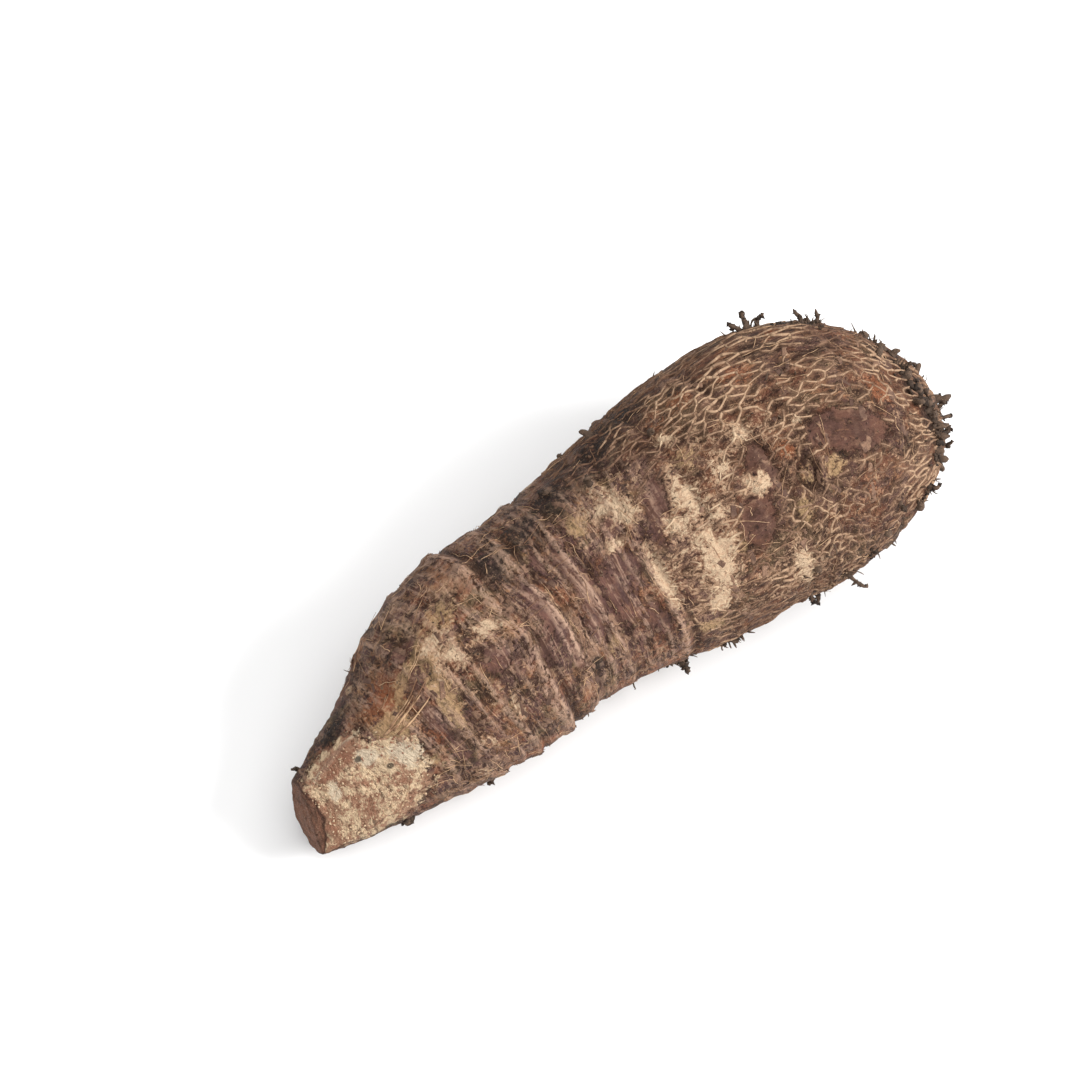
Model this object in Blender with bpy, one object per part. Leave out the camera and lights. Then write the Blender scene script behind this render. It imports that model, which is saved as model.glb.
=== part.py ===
"""A cush-cush yam tuber as dug, lying on its side.

One grown piece: a club-shaped tuber with a fat crown end at +X, a waist, a shoulder and a neck that
tapers to a broken tip at -X. Ring scars go round it, corky ridges run along its crown, a few sunken
eyes sit in the bark, and short wiry rootlets stand on it. Lengths are in millimetres until the mesh
is made, angles in degrees.
"""

import bpy
import numpy as np

MM = 0.001

# The core line: place along the tuber, sideways bend, height above the table
CORE_LINE = np.array(
    [
        (-98.0, -8.5, 14.5),  # tip
        (-65.0, -5.5, 19.5),  # neck
        (-34.0, -0.5, 26.0),  # shoulder
        (-10.0, 1.5, 27.5),  # waist
        (26.0, 0.5, 31.5),  # flank
        (56.0, 0.0, 33.0),  # belly
        (80.0, -7.0, 31.5),  # crown
        (100.0, -15.0, 30.0),  # end of the crown
    ]
)
# Half the tuber's thickness, square to the core line, at places along it
HALF_WIDTH = np.array(
    [
        (-98.0, 8.0),
        (-89.0, 10.8),
        (-65.0, 18.2),
        (-48.0, 24.6),
        (-33.0, 27.2),
        (-12.0, 26.2),
        (4.0, 28.0),
        (26.0, 32.0),
        (52.0, 33.8),
        (100.0, 33.8),
    ]
)
# Both ends close as half ellipsoids, from where each starts to where it ends
TIP_DOME = (-92.0, -98.0, 2.4)
CROWN_DOME = (52.0, 98.0, 2.0)
# Where the model's own origin stands in the coordinates above, so that it is under the middle
ORIGIN = np.array([4.8, -1.5, 0.0])

# The mesh of the skin: columns of points run along it and rows go round it, one row on each ring scar
COLUMNS = 60
ROW_SPACING = 2.9

# The tip was snapped off: an end face, and a slanting face that looks up. Point and outward normal
END_BREAK = ((-91.0, -7.0, 15.5), (-0.985, 0.13, 0.11))
SLANT_BREAK = ((-66.7, -16.5, 33.6), (-0.53, -0.51, 0.68))
BREAK_ROUGHNESS = 0.5
BREAK_GRAIN = 5.0
BREAK_EDGE = 1.0

# Ring scars, where leaf scales once sat: place along the tuber, and how deep the groove is
RING_SCARS = (
    (-57.0, 0.25),
    (-48.0, 0.35),
    (-38.0, 0.35),
    (-26.5, 0.90),
    (-17.0, 0.70),
    (-5.0, 0.50),
    (11.0, 0.55),
    (25.0, 0.45),
    (43.5, 0.55),
    (58.0, 0.35),
    (70.0, 0.30),
    (82.0, 0.30),
)
RING_GROOVE_WIDTH = 1.5
RING_LIP_SHIFT = 2.7
RING_LIP_SHARE = 0.9
# Rows and columns waver, and the rings and ridges with them: by how much along and round, and how often
WAVER = (1.5, 1.3)
WAVER_CELL = 15.0

# Eyes, the resting buds: place along the tuber, angle round it from the top (+ away from -Y), radius
EYES = (
    (51.0, -37.0, 4.6),
    (33.0, 3.0, 2.4),
    (8.0, 96.0, 3.6),
    (64.0, 148.0, 4.0),
    (-41.0, 118.0, 3.2),
    (24.0, -128.0, 3.4),
)
EYE_RIM = 1.0
EYE_PIT = 1.4

# Soft lumps of the body: height and size
LUMPS = ((0.8, 34.0), (0.4, 13.0), (0.22, 6.5))
# The cork net of the crown, larger than life: ridges on every other column, stepped from band to band
NET_HEIGHT = 0.85
NET_STARTS, NET_FULL = 6.0, 34.0
NET_FADES, NET_ENDS = 20.0, 6.0
NET_BAND = 6.4
NET_PATCH_CELL = 26.0

# Rootlets and knobs on the outline: place, angle, length, radius, lean along, lean round
NAMED_ROOTLETS = (
    (59.0, 57.0, 4.6, 0.75, -0.3, 0.7),
    (57.5, 56.0, 3.0, 0.80, -1.0, 0.3),
    (60.5, 56.0, 3.6, 0.70, 0.9, 0.2),
    (58.5, 54.0, 2.0, 1.20, 0.2, 0.3),
    (67.5, 43.0, 3.6, 0.70, -0.7, 0.5),
    (69.5, 41.0, 3.4, 0.70, 0.8, 0.3),
    (68.5, 43.0, 1.8, 1.10, 0.0, 0.4),
    (81.0, 43.0, 1.3, 1.90, 0.2, 0.2),
    (84.0, 34.0, 1.2, 1.70, 0.3, 0.1),
    (87.3, 18.0, 3.4, 0.50, 0.8, 0.5),
    (87.0, 9.0, 1.5, 1.50, 0.2, 0.1),
    (89.0, 0.0, 1.7, 1.60, 0.2, 0.0),
    (90.6, -10.0, 1.6, 1.30, 0.3, 0.0),
    (91.2, -19.0, 2.2, 1.20, 0.2, 0.1),
    (92.0, -29.0, 2.8, 1.10, 0.3, 0.2),
    (92.6, -39.0, 2.6, 1.20, 0.1, -0.2),
    (91.5, -51.0, 1.8, 1.40, 0.3, -0.2),
    (86.0, -84.0, 1.8, 1.80, 0.6, 0.1),
    (89.0, -79.0, 3.2, 0.70, 0.9, 0.3),
    (60.5, -99.0, 5.5, 0.55, 1.1, -0.5),
    (22.5, -112.0, 1.2, 2.00, -0.4, 0.2),
    (8.0, -112.0, 3.2, 0.80, 1.0, 0.1),
    (-72.0, -106.0, 1.3, 1.70, -0.2, 0.1),
    (-85.0, 66.0, 1.8, 0.60, -0.5, 0.3),
)
# The rest follow a rule: most stand on the crown, a few lower down
ROOTLET_SEED = 11
ROOTLETS = 38
ROOTLET_LENGTHS = (1.2, 3.2)
ROOTLET_RADII = (0.6, 1.2)
ROOTLET_SINK = 1.6
ROOTLET_SIDES = 4
ROOTLET_TIP_SHARE = 0.6
TABLE_CLEARANCE = 1.2

SKIN_COLOUR = (0.115, 0.062, 0.040, 1.0)


def smooth(x, knots, values):
    """A cubic curve through the knots, whose slope at each knot is that of its neighbours."""
    slope = np.gradient(values, knots)
    i = np.clip(np.searchsorted(knots, x) - 1, 0, len(knots) - 2)
    step = knots[i + 1] - knots[i]
    t = (x - knots[i]) / step
    return (
        (2 * t**3 - 3 * t**2 + 1) * values[i]
        + (t**3 - 2 * t**2 + t) * step * slope[i]
        + (3 * t**2 - 2 * t**3) * values[i + 1]
        + (t**3 - t**2) * step * slope[i + 1]
    )


def half_width(x):
    """The thickness curve, closed at each end by a factor that falls to nothing as an ellipse does."""
    width = smooth(x, HALF_WIDTH[:, 0], HALF_WIDTH[:, 1])
    for start, end, power in (TIP_DOME, CROWN_DOME):
        share = np.clip((x - start) / (end - start), 0, 1)
        width = width * np.sqrt(1 - share**power)
    return width


def places_along():
    """Rows of points nearly equally far apart on the skin, with a row at the foot of each ring scar."""
    tip, crown = TIP_DOME[1], CROWN_DOME[1]
    x = tip + (crown - tip) * (1 - np.cos(np.linspace(0, np.pi, 4001))) / 2
    run = np.concatenate([[0], np.cumsum(np.hypot(np.diff(x), np.diff(half_width(x))))])
    stops = np.interp([tip, *(place for place, _ in RING_SCARS), crown], x, run)
    rows = [stops[:1]]
    for start, end in zip(stops, stops[1:]):
        rows.append(np.linspace(start, end, 1 + round((end - start) / ROW_SPACING))[1:])
    return np.interp(np.concatenate(rows), run, x)


def core_point(x):
    bend = smooth(x, CORE_LINE[:, 0], CORE_LINE[:, 1])
    height = smooth(x, CORE_LINE[:, 0], CORE_LINE[:, 2])
    return np.stack([x, bend, height], -1)


def core_axes(x):
    """Unit vectors at a place on the core line: along it, sideways and level, and up square to both."""
    along = core_point(x + 0.5) - core_point(x - 0.5)
    along /= np.linalg.norm(along, axis=-1, keepdims=True)
    side = np.cross([0.0, 0.0, 1.0], along)
    side /= np.linalg.norm(side, axis=-1, keepdims=True)
    return along, side, np.cross(along, side)


def smooth_skin(x, angle):
    """Points of the body before any relief: a circle round the core line at each place."""
    along, side, up = core_axes(x)
    turn = np.radians(angle)[..., None]
    return core_point(x) + half_width(x)[..., None] * (np.cos(turn) * up + np.sin(turn) * side)


def soft_noise(points, cell, seed):
    """A smooth random field from -1 to 1: seeded values on a grid of that cell size, blended between."""
    size = 24
    table = np.random.default_rng(seed).uniform(-1, 1, (size, size, size))
    scaled = points / cell
    low = np.floor(scaled).astype(int)
    t = scaled - low
    t = t * t * (3 - 2 * t)
    total = 0.0
    for corner in np.ndindex(2, 2, 2):
        weight = np.prod(np.where(corner, t, 1 - t), axis=-1)
        i, j, k = np.moveaxis((low + corner) % size, -1, 0)
        total = total + weight * table[i, j, k]
    return total


def unbent(x, angle):
    """The same skin as if the tuber were straight, so that a pattern follows its length."""
    turn, width = np.radians(angle), half_width(x)
    return np.stack([x, width * np.sin(turn), width * np.cos(turn)], -1)


def ramp(value, low, high):
    t = np.clip((value - low) / (high - low), 0, 1)
    return t * t * (3 - 2 * t)


def ring_relief(x):
    """Each ring scar is a groove with a raised lip on its tip side."""
    height = np.zeros_like(x)
    for place, depth in RING_SCARS:
        across = (x - place) / RING_GROOVE_WIDTH
        lip = (x - place + RING_LIP_SHIFT) / RING_GROOVE_WIDTH
        height += depth * (RING_LIP_SHARE * np.exp(-(lip**2)) - np.exp(-(across**2)))
    return height


def eye_relief(straight):
    """Each eye is a sunken bud in a raised rim."""
    height = np.zeros(straight.shape[:-1])
    for place, angle, radius in EYES:
        centre = unbent(np.array(place), np.array(angle))
        far = np.linalg.norm(straight - centre, axis=-1) / radius
        rim = EYE_RIM * np.exp(-(((far - 1.05) / 0.3) ** 2))
        height += (rim - EYE_PIT * np.exp(-((far / 0.62) ** 2))) * min(1.0, radius / 4)
    return height


def net_relief(x, angle, straight):
    """The cork net: a wave that peaks on every other column, and changes over from band to band."""
    band = np.floor(x / NET_BAND) % 2
    ridge = np.cos(np.radians(angle) * COLUMNS / 2 + band * np.pi)
    patchy = 0.6 + 0.8 * soft_noise(straight, NET_PATCH_CELL, 31)
    strength = ramp(x, NET_STARTS, NET_FULL) * (1 - ramp(-half_width(x), -NET_FADES, -NET_ENDS))
    return NET_HEIGHT * ridge * np.clip(patchy, 0.25, 1) * strength


def relief(x, angle):
    straight = unbent(x, angle)
    height = ring_relief(x) + eye_relief(straight) + net_relief(x, angle, straight)
    for seed, (tall, cell) in enumerate(LUMPS):
        height += tall * soft_noise(straight, cell, 41 + seed)
    return height


def outward(grid):
    """Unit normals of a grid of points that closes round its second axis."""
    round_it = np.roll(grid, -1, 1) - np.roll(grid, 1, 1)
    normal = np.cross(np.gradient(grid, axis=0), round_it)
    normal[0], normal[-1] = grid[0] - grid[6].mean(0), grid[-1] - grid[-7].mean(0)
    return normal / np.linalg.norm(normal, axis=-1, keepdims=True)


def snapped(points):
    """Everything past a broken face is pressed back to it, with a rounded edge, and left a little rough."""
    rough = BREAK_ROUGHNESS * soft_noise(points, BREAK_GRAIN, 51)
    for place, normal in (END_BREAK, SLANT_BREAK):
        normal = np.array(normal) / np.linalg.norm(normal)
        past = (points - place) @ normal - rough
        pressed = (past + np.hypot(past, BREAK_EDGE)) / 2
        points = points - pressed[..., None] * normal
    return points


def skin_points():
    """The skin as rows round the tuber, its two end rows drawn together to one point each."""
    x, angle = np.meshgrid(places_along(), np.arange(COLUMNS) * 360 / COLUMNS, indexing="ij")
    straight = unbent(x, angle)
    closing = np.minimum(1, half_width(x) / 20)
    shift = WAVER[0] * soft_noise(straight, WAVER_CELL, 21) * closing
    turn = WAVER[1] * soft_noise(straight, WAVER_CELL, 22) * closing
    around = np.degrees(turn / np.maximum(half_width(x), 8))
    smooth_grid = smooth_skin(np.clip(x + shift, x.min(), x.max()), angle + around)
    grid = smooth_grid + relief(x, angle)[..., None] * outward(smooth_grid)
    grid = snapped(grid)
    grid[..., 2] = np.maximum(grid[..., 2], 0)
    return grid - ORIGIN


def skin_mesh():
    grid = skin_points()
    ends = [grid[0].mean(0), grid[-1].mean(0)]
    points = np.concatenate([grid[1:-1].reshape(-1, 3), ends])
    rows, last = len(grid) - 2, len(points) - 1
    faces = []
    for j in range(COLUMNS):
        k = (j + 1) % COLUMNS
        faces.append((last - 1, j, k))
        for i in range(rows - 1):
            a, b = i * COLUMNS, (i + 1) * COLUMNS
            faces.append((a + j, b + k, a + k))
            faces.append((a + j, b + j, b + k))
        faces.append((last, (rows - 1) * COLUMNS + k, (rows - 1) * COLUMNS + j))
    return points, faces


def rootlet_roots():
    """Each rootlet as place, angle, length, radius, lean along and lean round the tuber."""
    draw = np.random.default_rng(ROOTLET_SEED)
    made = list(NAMED_ROOTLETS)
    for _ in range(ROOTLETS):
        place = CROWN_DOME[1] - 1.5 - 150.0 * draw.random() ** 2.6
        angle = draw.uniform(-180, 180)
        length = draw.uniform(*ROOTLET_LENGTHS)
        radius = draw.uniform(*ROOTLET_RADII)
        made.append((place, angle, length, radius, *draw.uniform(-0.8, 0.8, 2)))
    return made


def rootlet_line(place, angle, length, lean_along, lean_round):
    """Centre points of a rootlet, from inside the skin outwards, leaning more towards its end."""
    x = np.array([place - 0.6, place, place + 0.6, place])
    turn = np.array([angle, angle - 1, angle, angle + 1.0])
    before, low, after, high = smooth_skin(x, turn)
    forward, round_it = after - before, high - low
    normal = np.cross(forward, round_it)
    forward, round_it, normal = (
        v / np.linalg.norm(v) for v in (forward, round_it, normal)
    )
    foot = (before + after) / 2 + normal * relief(np.array([place]), np.array([angle]))[0]
    reach = np.array([-ROOTLET_SINK, 0.0, 0.45 * length, length])[:, None]
    bend = (np.maximum(reach, 0) / length) ** 1.5 * length * 0.6
    line = foot + normal * reach + bend * (lean_along * forward + lean_round * round_it)
    return line - ORIGIN


def rootlet_mesh(line, radius):
    """A tapering square-sided tube round the centre points, closed at both ends."""
    points, sides = [], ROOTLET_SIDES
    turn = np.arange(sides) * 2 * np.pi / sides
    for i, centre in enumerate(line):
        along = line[min(i + 1, len(line) - 1)] - line[max(i - 1, 0)]
        along /= np.linalg.norm(along)
        across = np.cross(along, [0.3, 0.5, 0.81])
        across /= np.linalg.norm(across)
        width = radius * (1 - (1 - ROOTLET_TIP_SHARE) * max(i - 1, 0) / (len(line) - 2))
        third = np.cross(along, across)
        points += [centre + width * (np.cos(t) * across + np.sin(t) * third) for t in turn]
    faces = [tuple(reversed(range(sides)))]
    for i in range(len(line) - 1):
        a, b = i * sides, (i + 1) * sides
        faces += [(a + j, a + (j + 1) % sides, b + (j + 1) % sides, b + j) for j in range(sides)]
    faces.append(tuple(range((len(line) - 1) * sides, len(line) * sides)))
    return points, faces


def add_object(name, points, faces, collection):
    mesh = bpy.data.meshes.new(name)
    mesh.from_pydata([tuple(float(c) * MM for c in p) for p in points], [], faces)
    mesh.validate()
    body = bpy.data.objects.new(name, mesh)
    collection.objects.link(body)
    return body


def bark_material():
    material = bpy.data.materials.new("bark")
    material.use_nodes = True
    surface = material.node_tree.nodes["Principled BSDF"]
    surface.inputs["Base Color"].default_value = SKIN_COLOUR
    surface.inputs["Roughness"].default_value = 0.85
    surface.inputs["Metallic"].default_value = 0.0
    return material


def join_rootlets(tuber):
    """Every rootlet that clears the table is joined into the tuber by one union."""
    gathered = bpy.data.collections.new("rootlets")
    bpy.context.scene.collection.children.link(gathered)
    for number, (place, angle, length, radius, *lean) in enumerate(rootlet_roots()):
        line = rootlet_line(place, angle, length, *lean)
        if line[:, 2].min() > TABLE_CLEARANCE:
            add_object(f"rootlet_{number}", *rootlet_mesh(line, radius), gathered)
    union = tuber.modifiers.new("rootlets", "BOOLEAN")
    union.operation = "UNION"
    union.operand_type = "COLLECTION"
    union.collection = gathered
    union.solver = "MANIFOLD"
    bpy.context.view_layer.objects.active = tuber
    bpy.ops.object.modifier_apply(modifier=union.name)
    for rootlet in list(gathered.objects):
        bpy.data.objects.remove(rootlet)
    bpy.data.collections.remove(gathered)


def main():
    for old in list(bpy.data.objects):
        bpy.data.objects.remove(old)
    tuber = add_object("tuber", *skin_mesh(), bpy.context.scene.collection)
    join_rootlets(tuber)
    tuber.data.materials.clear()
    tuber.data.materials.append(bark_material())
    tuber.data.shade_smooth()


main()
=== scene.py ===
"""The looks of a cush-cush yam tuber as dug: skin, cork net, rootlets, fibres, bark scales and crumbs.

Lengths are in millimetres until a mesh is made, angles in degrees. A place on the skin is given by two
numbers: how far along the tuber it lies, and its angle round it, 0 at the top and positive towards +Y.
"""

import bpy
import numpy as np
from mathutils import Matrix


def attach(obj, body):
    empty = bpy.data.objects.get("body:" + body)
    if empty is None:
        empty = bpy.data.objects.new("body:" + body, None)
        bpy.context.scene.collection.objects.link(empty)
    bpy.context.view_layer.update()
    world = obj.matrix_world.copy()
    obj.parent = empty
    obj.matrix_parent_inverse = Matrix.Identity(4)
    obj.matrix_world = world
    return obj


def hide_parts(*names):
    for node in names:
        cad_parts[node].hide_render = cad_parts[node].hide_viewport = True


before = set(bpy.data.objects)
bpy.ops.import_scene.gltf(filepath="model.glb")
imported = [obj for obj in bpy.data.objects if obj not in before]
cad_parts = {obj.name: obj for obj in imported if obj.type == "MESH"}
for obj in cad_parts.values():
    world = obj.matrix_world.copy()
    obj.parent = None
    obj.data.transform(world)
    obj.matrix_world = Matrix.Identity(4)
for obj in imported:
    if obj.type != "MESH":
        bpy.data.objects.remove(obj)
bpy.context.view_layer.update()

# The skin: the outer bark of the one grown tuber, from the snapped tip at -X to the fat crown at +X.
# It is a circle carried along a bent core line, closed at both ends, with ring scars where leaf scales
# sat, eyes, soft lumps and streaks raised from it, and its tip pressed flat on two broken faces.

MM = 0.001
CORE_LINE = np.array(
    [
        (-98.0, -8.5, 14.5),  # tip
        (-65.0, -5.5, 19.5),  # neck
        (-34.0, -0.5, 26.0),  # shoulder
        (-10.0, 1.5, 27.5),  # waist
        (26.0, 0.5, 31.5),  # flank
        (56.0, 0.0, 33.0),  # belly
        (80.0, -7.0, 31.5),  # crown
        (100.0, -15.0, 30.0),  # end of the crown
    ]
)
HALF_WIDTH = np.array(
    [
        (-98.0, 8.0),
        (-89.0, 10.8),
        (-65.0, 18.2),
        (-48.0, 24.6),
        (-33.0, 27.2),
        (-12.0, 26.2),
        (4.0, 28.0),
        (26.0, 32.0),
        (52.0, 33.8),
        (100.0, 33.8),
    ]
)
TIP_DOME = (-92.0, -98.0, 2.4)
CROWN_DOME = (52.0, 98.0, 2.0)
ORIGIN = np.array([4.8, -1.5, 0.0])
# How far rows and columns wander along and round, over what length, and the half width that calms them
WAVER = (1.5, 1.3)
WAVER_CELL = 15.0
WAVER_CALM = 20.0
# Lumps of the bark: height and cell; its fine roughness: height and largest cell
LUMPS = ((0.8, 34.0), (0.4, 13.0), (0.22, 6.5))
ROUGH_BARK = (0.26, 4.0)
# Streaks, off and on the crown: height and cell
CROSS_STREAKS = (0.2, 1.9)
LONG_STREAKS = (0.24, 2.1)
# Broken faces: a point of each and the way it faces; their roughness as height and cell, and edge radius
END_BREAK = ((-91.0, -7.0, 15.5), (-0.985, 0.13, 0.11))
SLANT_BREAK = ((-66.7, -16.5, 33.6), (-0.53, -0.51, 0.68))
BREAK_WAVES = (0.5, 5.0)
BREAK_GRAIN = (0.3, 2.4)
BREAK_EDGE = 1.0
BREAK_FADE = 0.25

SKIN_ROWS = 332
SKIN_COLUMNS = 298
# Ring scars: place along the tuber, and how deep the groove is
RING_SCARS = (
    (-57.0, 0.25),
    (-48.0, 0.35),
    (-38.0, 0.35),
    (-26.5, 0.90),
    (-17.0, 0.70),
    (-5.0, 0.50),
    (11.0, 0.55),
    (25.0, 0.45),
    (43.5, 0.55),
    (58.0, 0.35),
    (70.0, 0.30),
    (82.0, 0.30),
)
FAINT_RINGS = (-53.0, -44.5, -33.5, -31.0, -21.0, -12.0, -9.5, 1.0, 5.0, 17.0, 20.0, 36.0)
FAINT_RING = 0.55
# A scar's groove and lip, as shares of its depth, with their half widths and the lip's way to the tip
GROOVE, GROOVE_WIDTH = 1.15, 1.25
LIP, LIP_WIDTH, LIP_AHEAD = 0.8, 1.7, 2.4
LINE_WIDTH, LINE_AHEAD = 0.5, 2.2
# How far a scar and its pale line wander, and over what length
RING_WANDER = (0.55, 4.5)
LINE_WANDER = (0.9, 7.0)
# Eyes: place along the tuber, angle, radius
EYES = (
    (51.0, -37.0, 4.6),
    (33.0, 3.0, 2.4),
    (8.0, 96.0, 3.6),
    (64.0, 148.0, 4.0),
    (-41.0, 118.0, 3.2),
    (24.0, -128.0, 3.4),
)
# An eye's rim and moat: height, way from its middle in radii, and width; its bud: height, ripple, width
EYE_RIM = (0.8, 1.1, 0.25)
EYE_MOAT = (1.1, 0.68, 0.2)
EYE_BUD = (0.25, 14.0, 0.5)
FULL_EYE = 4.0


def smooth(x, knots, values):
    """A cubic curve through the knots, whose slope at each knot is that of its neighbours."""
    slope = np.gradient(values, knots)
    i = np.clip(np.searchsorted(knots, x) - 1, 0, len(knots) - 2)
    step = knots[i + 1] - knots[i]
    t = (x - knots[i]) / step
    return (
        (2 * t**3 - 3 * t**2 + 1) * values[i]
        + (t**3 - 2 * t**2 + t) * step * slope[i]
        + (3 * t**2 - 2 * t**3) * values[i + 1]
        + (t**3 - t**2) * step * slope[i + 1]
    )


def ramp(value, low, high):
    """0 up to low, 1 from high, and an even s-curve between them."""
    t = np.clip((value - low) / (high - low), 0, 1)
    return t * t * (3 - 2 * t)


def unit(vectors):
    """Each vector over its own length."""
    return vectors / np.maximum(np.linalg.norm(vectors, axis=-1, keepdims=True), 1e-9)


def half_width(x):
    """The thickness curve, closed at each end by a factor that falls to nothing as an ellipse does."""
    width = smooth(x, HALF_WIDTH[:, 0], HALF_WIDTH[:, 1])
    for start, end, power in (TIP_DOME, CROWN_DOME):
        share = np.clip((x - start) / (end - start), 0, 1)
        width = width * np.sqrt(1 - share**power)
    return width


def core_point(x):
    """The core line's point at each place: its bend and its height are smooth curves through CORE_LINE."""
    bend = smooth(x, CORE_LINE[:, 0], CORE_LINE[:, 1])
    height = smooth(x, CORE_LINE[:, 0], CORE_LINE[:, 2])
    return np.stack([x, bend, height], -1)


def plain_skin(x, angle):
    """A circle round the core line at each place: core + half width * (cos(angle) up + sin(angle) side)."""
    along = unit(core_point(x + 0.5) - core_point(x - 0.5))
    side = unit(np.cross([0.0, 0.0, 1.0], along))
    up = np.cross(along, side)
    turn = np.radians(angle)[..., None]
    return core_point(x) + half_width(x)[..., None] * (np.cos(turn) * up + np.sin(turn) * side)


def unbent(x, angle):
    """The same skin as if the tuber were straight, so that a pattern follows its length."""
    turn, width = np.radians(angle), half_width(x)
    return np.stack([x, width * np.sin(turn), width * np.cos(turn)], -1)


def soft_noise(points, cell, seed):
    """A smooth random field from -1 to 1: seeded values on a grid of that cell size, blended between."""
    size = 24
    table = np.random.default_rng(seed).uniform(-1, 1, (size, size, size))
    scaled = points / cell
    low = np.floor(scaled).astype(int)
    t = scaled - low
    t = t * t * (3 - 2 * t)
    total = 0.0
    for corner in np.ndindex(2, 2, 2):
        weight = np.prod(np.where(corner, t, 1 - t), axis=-1)
        i, j, k = np.moveaxis((low + corner) % size, -1, 0)
        total = total + weight * table[i, j, k]
    return total


def rough_noise(points, cell, seed, octaves=4):
    """Soft noise of several sizes added up, each half as large and half as strong as the one before."""
    total = 0.0
    for octave in range(octaves):
        total = total + soft_noise(points, cell / 2**octave, seed + octave) / 2**octave
    return total


def wavered_skin(x, angle):
    """The plain skin with its rows and columns drawn a little along and round by noise."""
    straight = unbent(x, angle)
    calm = np.minimum(1, half_width(x) / WAVER_CALM)
    shift = WAVER[0] * soft_noise(straight, WAVER_CELL, seed=21) * calm
    turn = WAVER[1] * soft_noise(straight, WAVER_CELL, seed=22) * calm
    around = np.degrees(turn / np.maximum(half_width(x), 8))
    return plain_skin(np.clip(x + shift, TIP_DOME[1], CROWN_DOME[1]), angle + around)


def skin_axes(x, angle):
    """Points of the wavered skin with unit vectors along it, round it and out of it."""
    point = wavered_skin(x, angle)
    along = wavered_skin(x + 0.25, angle) - wavered_skin(x - 0.25, angle)
    around = wavered_skin(x, angle + 1) - wavered_skin(x, angle - 1)
    outward = unit(np.cross(along, around))
    at_pole = half_width(x)[..., None] < 0.5
    pole = np.stack([np.sign(x), 0 * x, 0 * x], -1)
    return point, unit(along), unit(around), np.where(at_pole, pole, outward)


def ring_relief(x, straight):
    """Each ring scar is a groove with a raised lip on its tip side, stronger and weaker by turns."""
    height = np.zeros_like(x)
    jitter = RING_WANDER[0] * soft_noise(straight, RING_WANDER[1], seed=61)
    for number, (place, depth) in enumerate(RING_SCARS):
        strength = depth * (0.85 + 0.75 * soft_noise(straight + 9 * number, 17.0, seed=62))
        across = (x - place + jitter) / GROOVE_WIDTH
        lip = (x - place + LIP_AHEAD + jitter) / LIP_WIDTH
        height += strength * (LIP * np.exp(-(lip**2)) - GROOVE * np.exp(-(across**2)))
    return height


def ring_line(x, straight):
    """A thin line on the lip of each ring scar, and weaker ones between them, broken up by noise."""
    strength = np.zeros_like(x)
    jitter = LINE_WANDER[0] * soft_noise(straight, LINE_WANDER[1], seed=68)
    lines = [(place - LINE_AHEAD, 0.6 + 0.5 * depth) for place, depth in RING_SCARS]
    lines += [(place, FAINT_RING) for place in FAINT_RINGS]
    for number, (place, strong) in enumerate(lines):
        broken = 0.75 + 0.8 * soft_noise(straight + 7 * number, 11.0, seed=69)
        strength += strong * broken * np.exp(-(((x - place + jitter) / LINE_WIDTH) ** 2))
    return np.clip(strength, 0, 1)


def eye_relief(straight):
    """Each eye is a small rippled bud in a moat, with a raised rim: three bell curves of the distance."""
    height = np.zeros(straight.shape[:-1])
    rim_height, rim_place, rim_width = EYE_RIM
    moat_depth, moat_place, moat_width = EYE_MOAT
    bud_height, ripple, bud_width = EYE_BUD
    for place, angle, radius in EYES:
        centre = unbent(np.array(place), np.array(angle))
        far = np.linalg.norm(straight - centre, axis=-1) / radius
        far = far + 0.12 * soft_noise(straight, 2.6, seed=63)
        rim = rim_height * np.exp(-(((far - rim_place) / rim_width) ** 2))
        moat = moat_depth * np.exp(-(((far - moat_place) / moat_width) ** 2))
        bud = bud_height * np.cos(far * ripple) * np.exp(-((far / bud_width) ** 2))
        height += (rim + bud - moat) * min(1.0, radius / FULL_EYE)
    return height


def crown_share(x, straight):
    """Where the cork net grows: all of the crown half, in ragged patches where it starts."""
    start = 10 + 9 * soft_noise(straight, 21.0, seed=64) - 8 * ramp(straight[..., 1], 2, 20)
    return ramp(x, start, start + 10) * ramp(half_width(x), 3, 12)


def streak_relief(x, straight):
    """Fine streaks, round the neck and waist and along the crown: 1 - 2 |noise| of stretched places."""
    round_it = 1 - 2 * np.abs(soft_noise(straight * [1, 0.12, 0.12], CROSS_STREAKS[1], seed=65))
    along_it = 1 - 2 * np.abs(soft_noise(straight * [0.2, 1, 1], LONG_STREAKS[1], seed=66))
    crown = crown_share(x, straight)
    return CROSS_STREAKS[0] * (1 - crown) * round_it + LONG_STREAKS[0] * crown * along_it


def relief(x, angle):
    """How far the bark stands out of the wavered skin: rings, eyes, streaks, lumps and roughness added."""
    straight = unbent(x, angle)
    height = ring_relief(x, straight) + eye_relief(straight) + streak_relief(x, straight)
    for number, (tall, cell) in enumerate(LUMPS):
        height += tall * soft_noise(straight, cell, seed=41 + number)
    return height + ROUGH_BARK[0] * rough_noise(straight, ROUGH_BARK[1], seed=67, octaves=3)


def snapped(points):
    """Points past a broken face are pressed back to it, with a rounded edge. Also how far past they were."""
    rough = BREAK_WAVES[0] * soft_noise(points, BREAK_WAVES[1], seed=51)
    rough = rough + BREAK_GRAIN[0] * rough_noise(points, BREAK_GRAIN[1], seed=52, octaves=3)
    depths = []
    for place, normal in (END_BREAK, SLANT_BREAK):
        normal = unit(np.array(normal))
        past = (points - place) @ normal - rough
        pressed = (past + np.hypot(past, BREAK_EDGE)) / 2
        points = points - pressed[..., None] * normal
        depths.append(past)
    return points, depths


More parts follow.
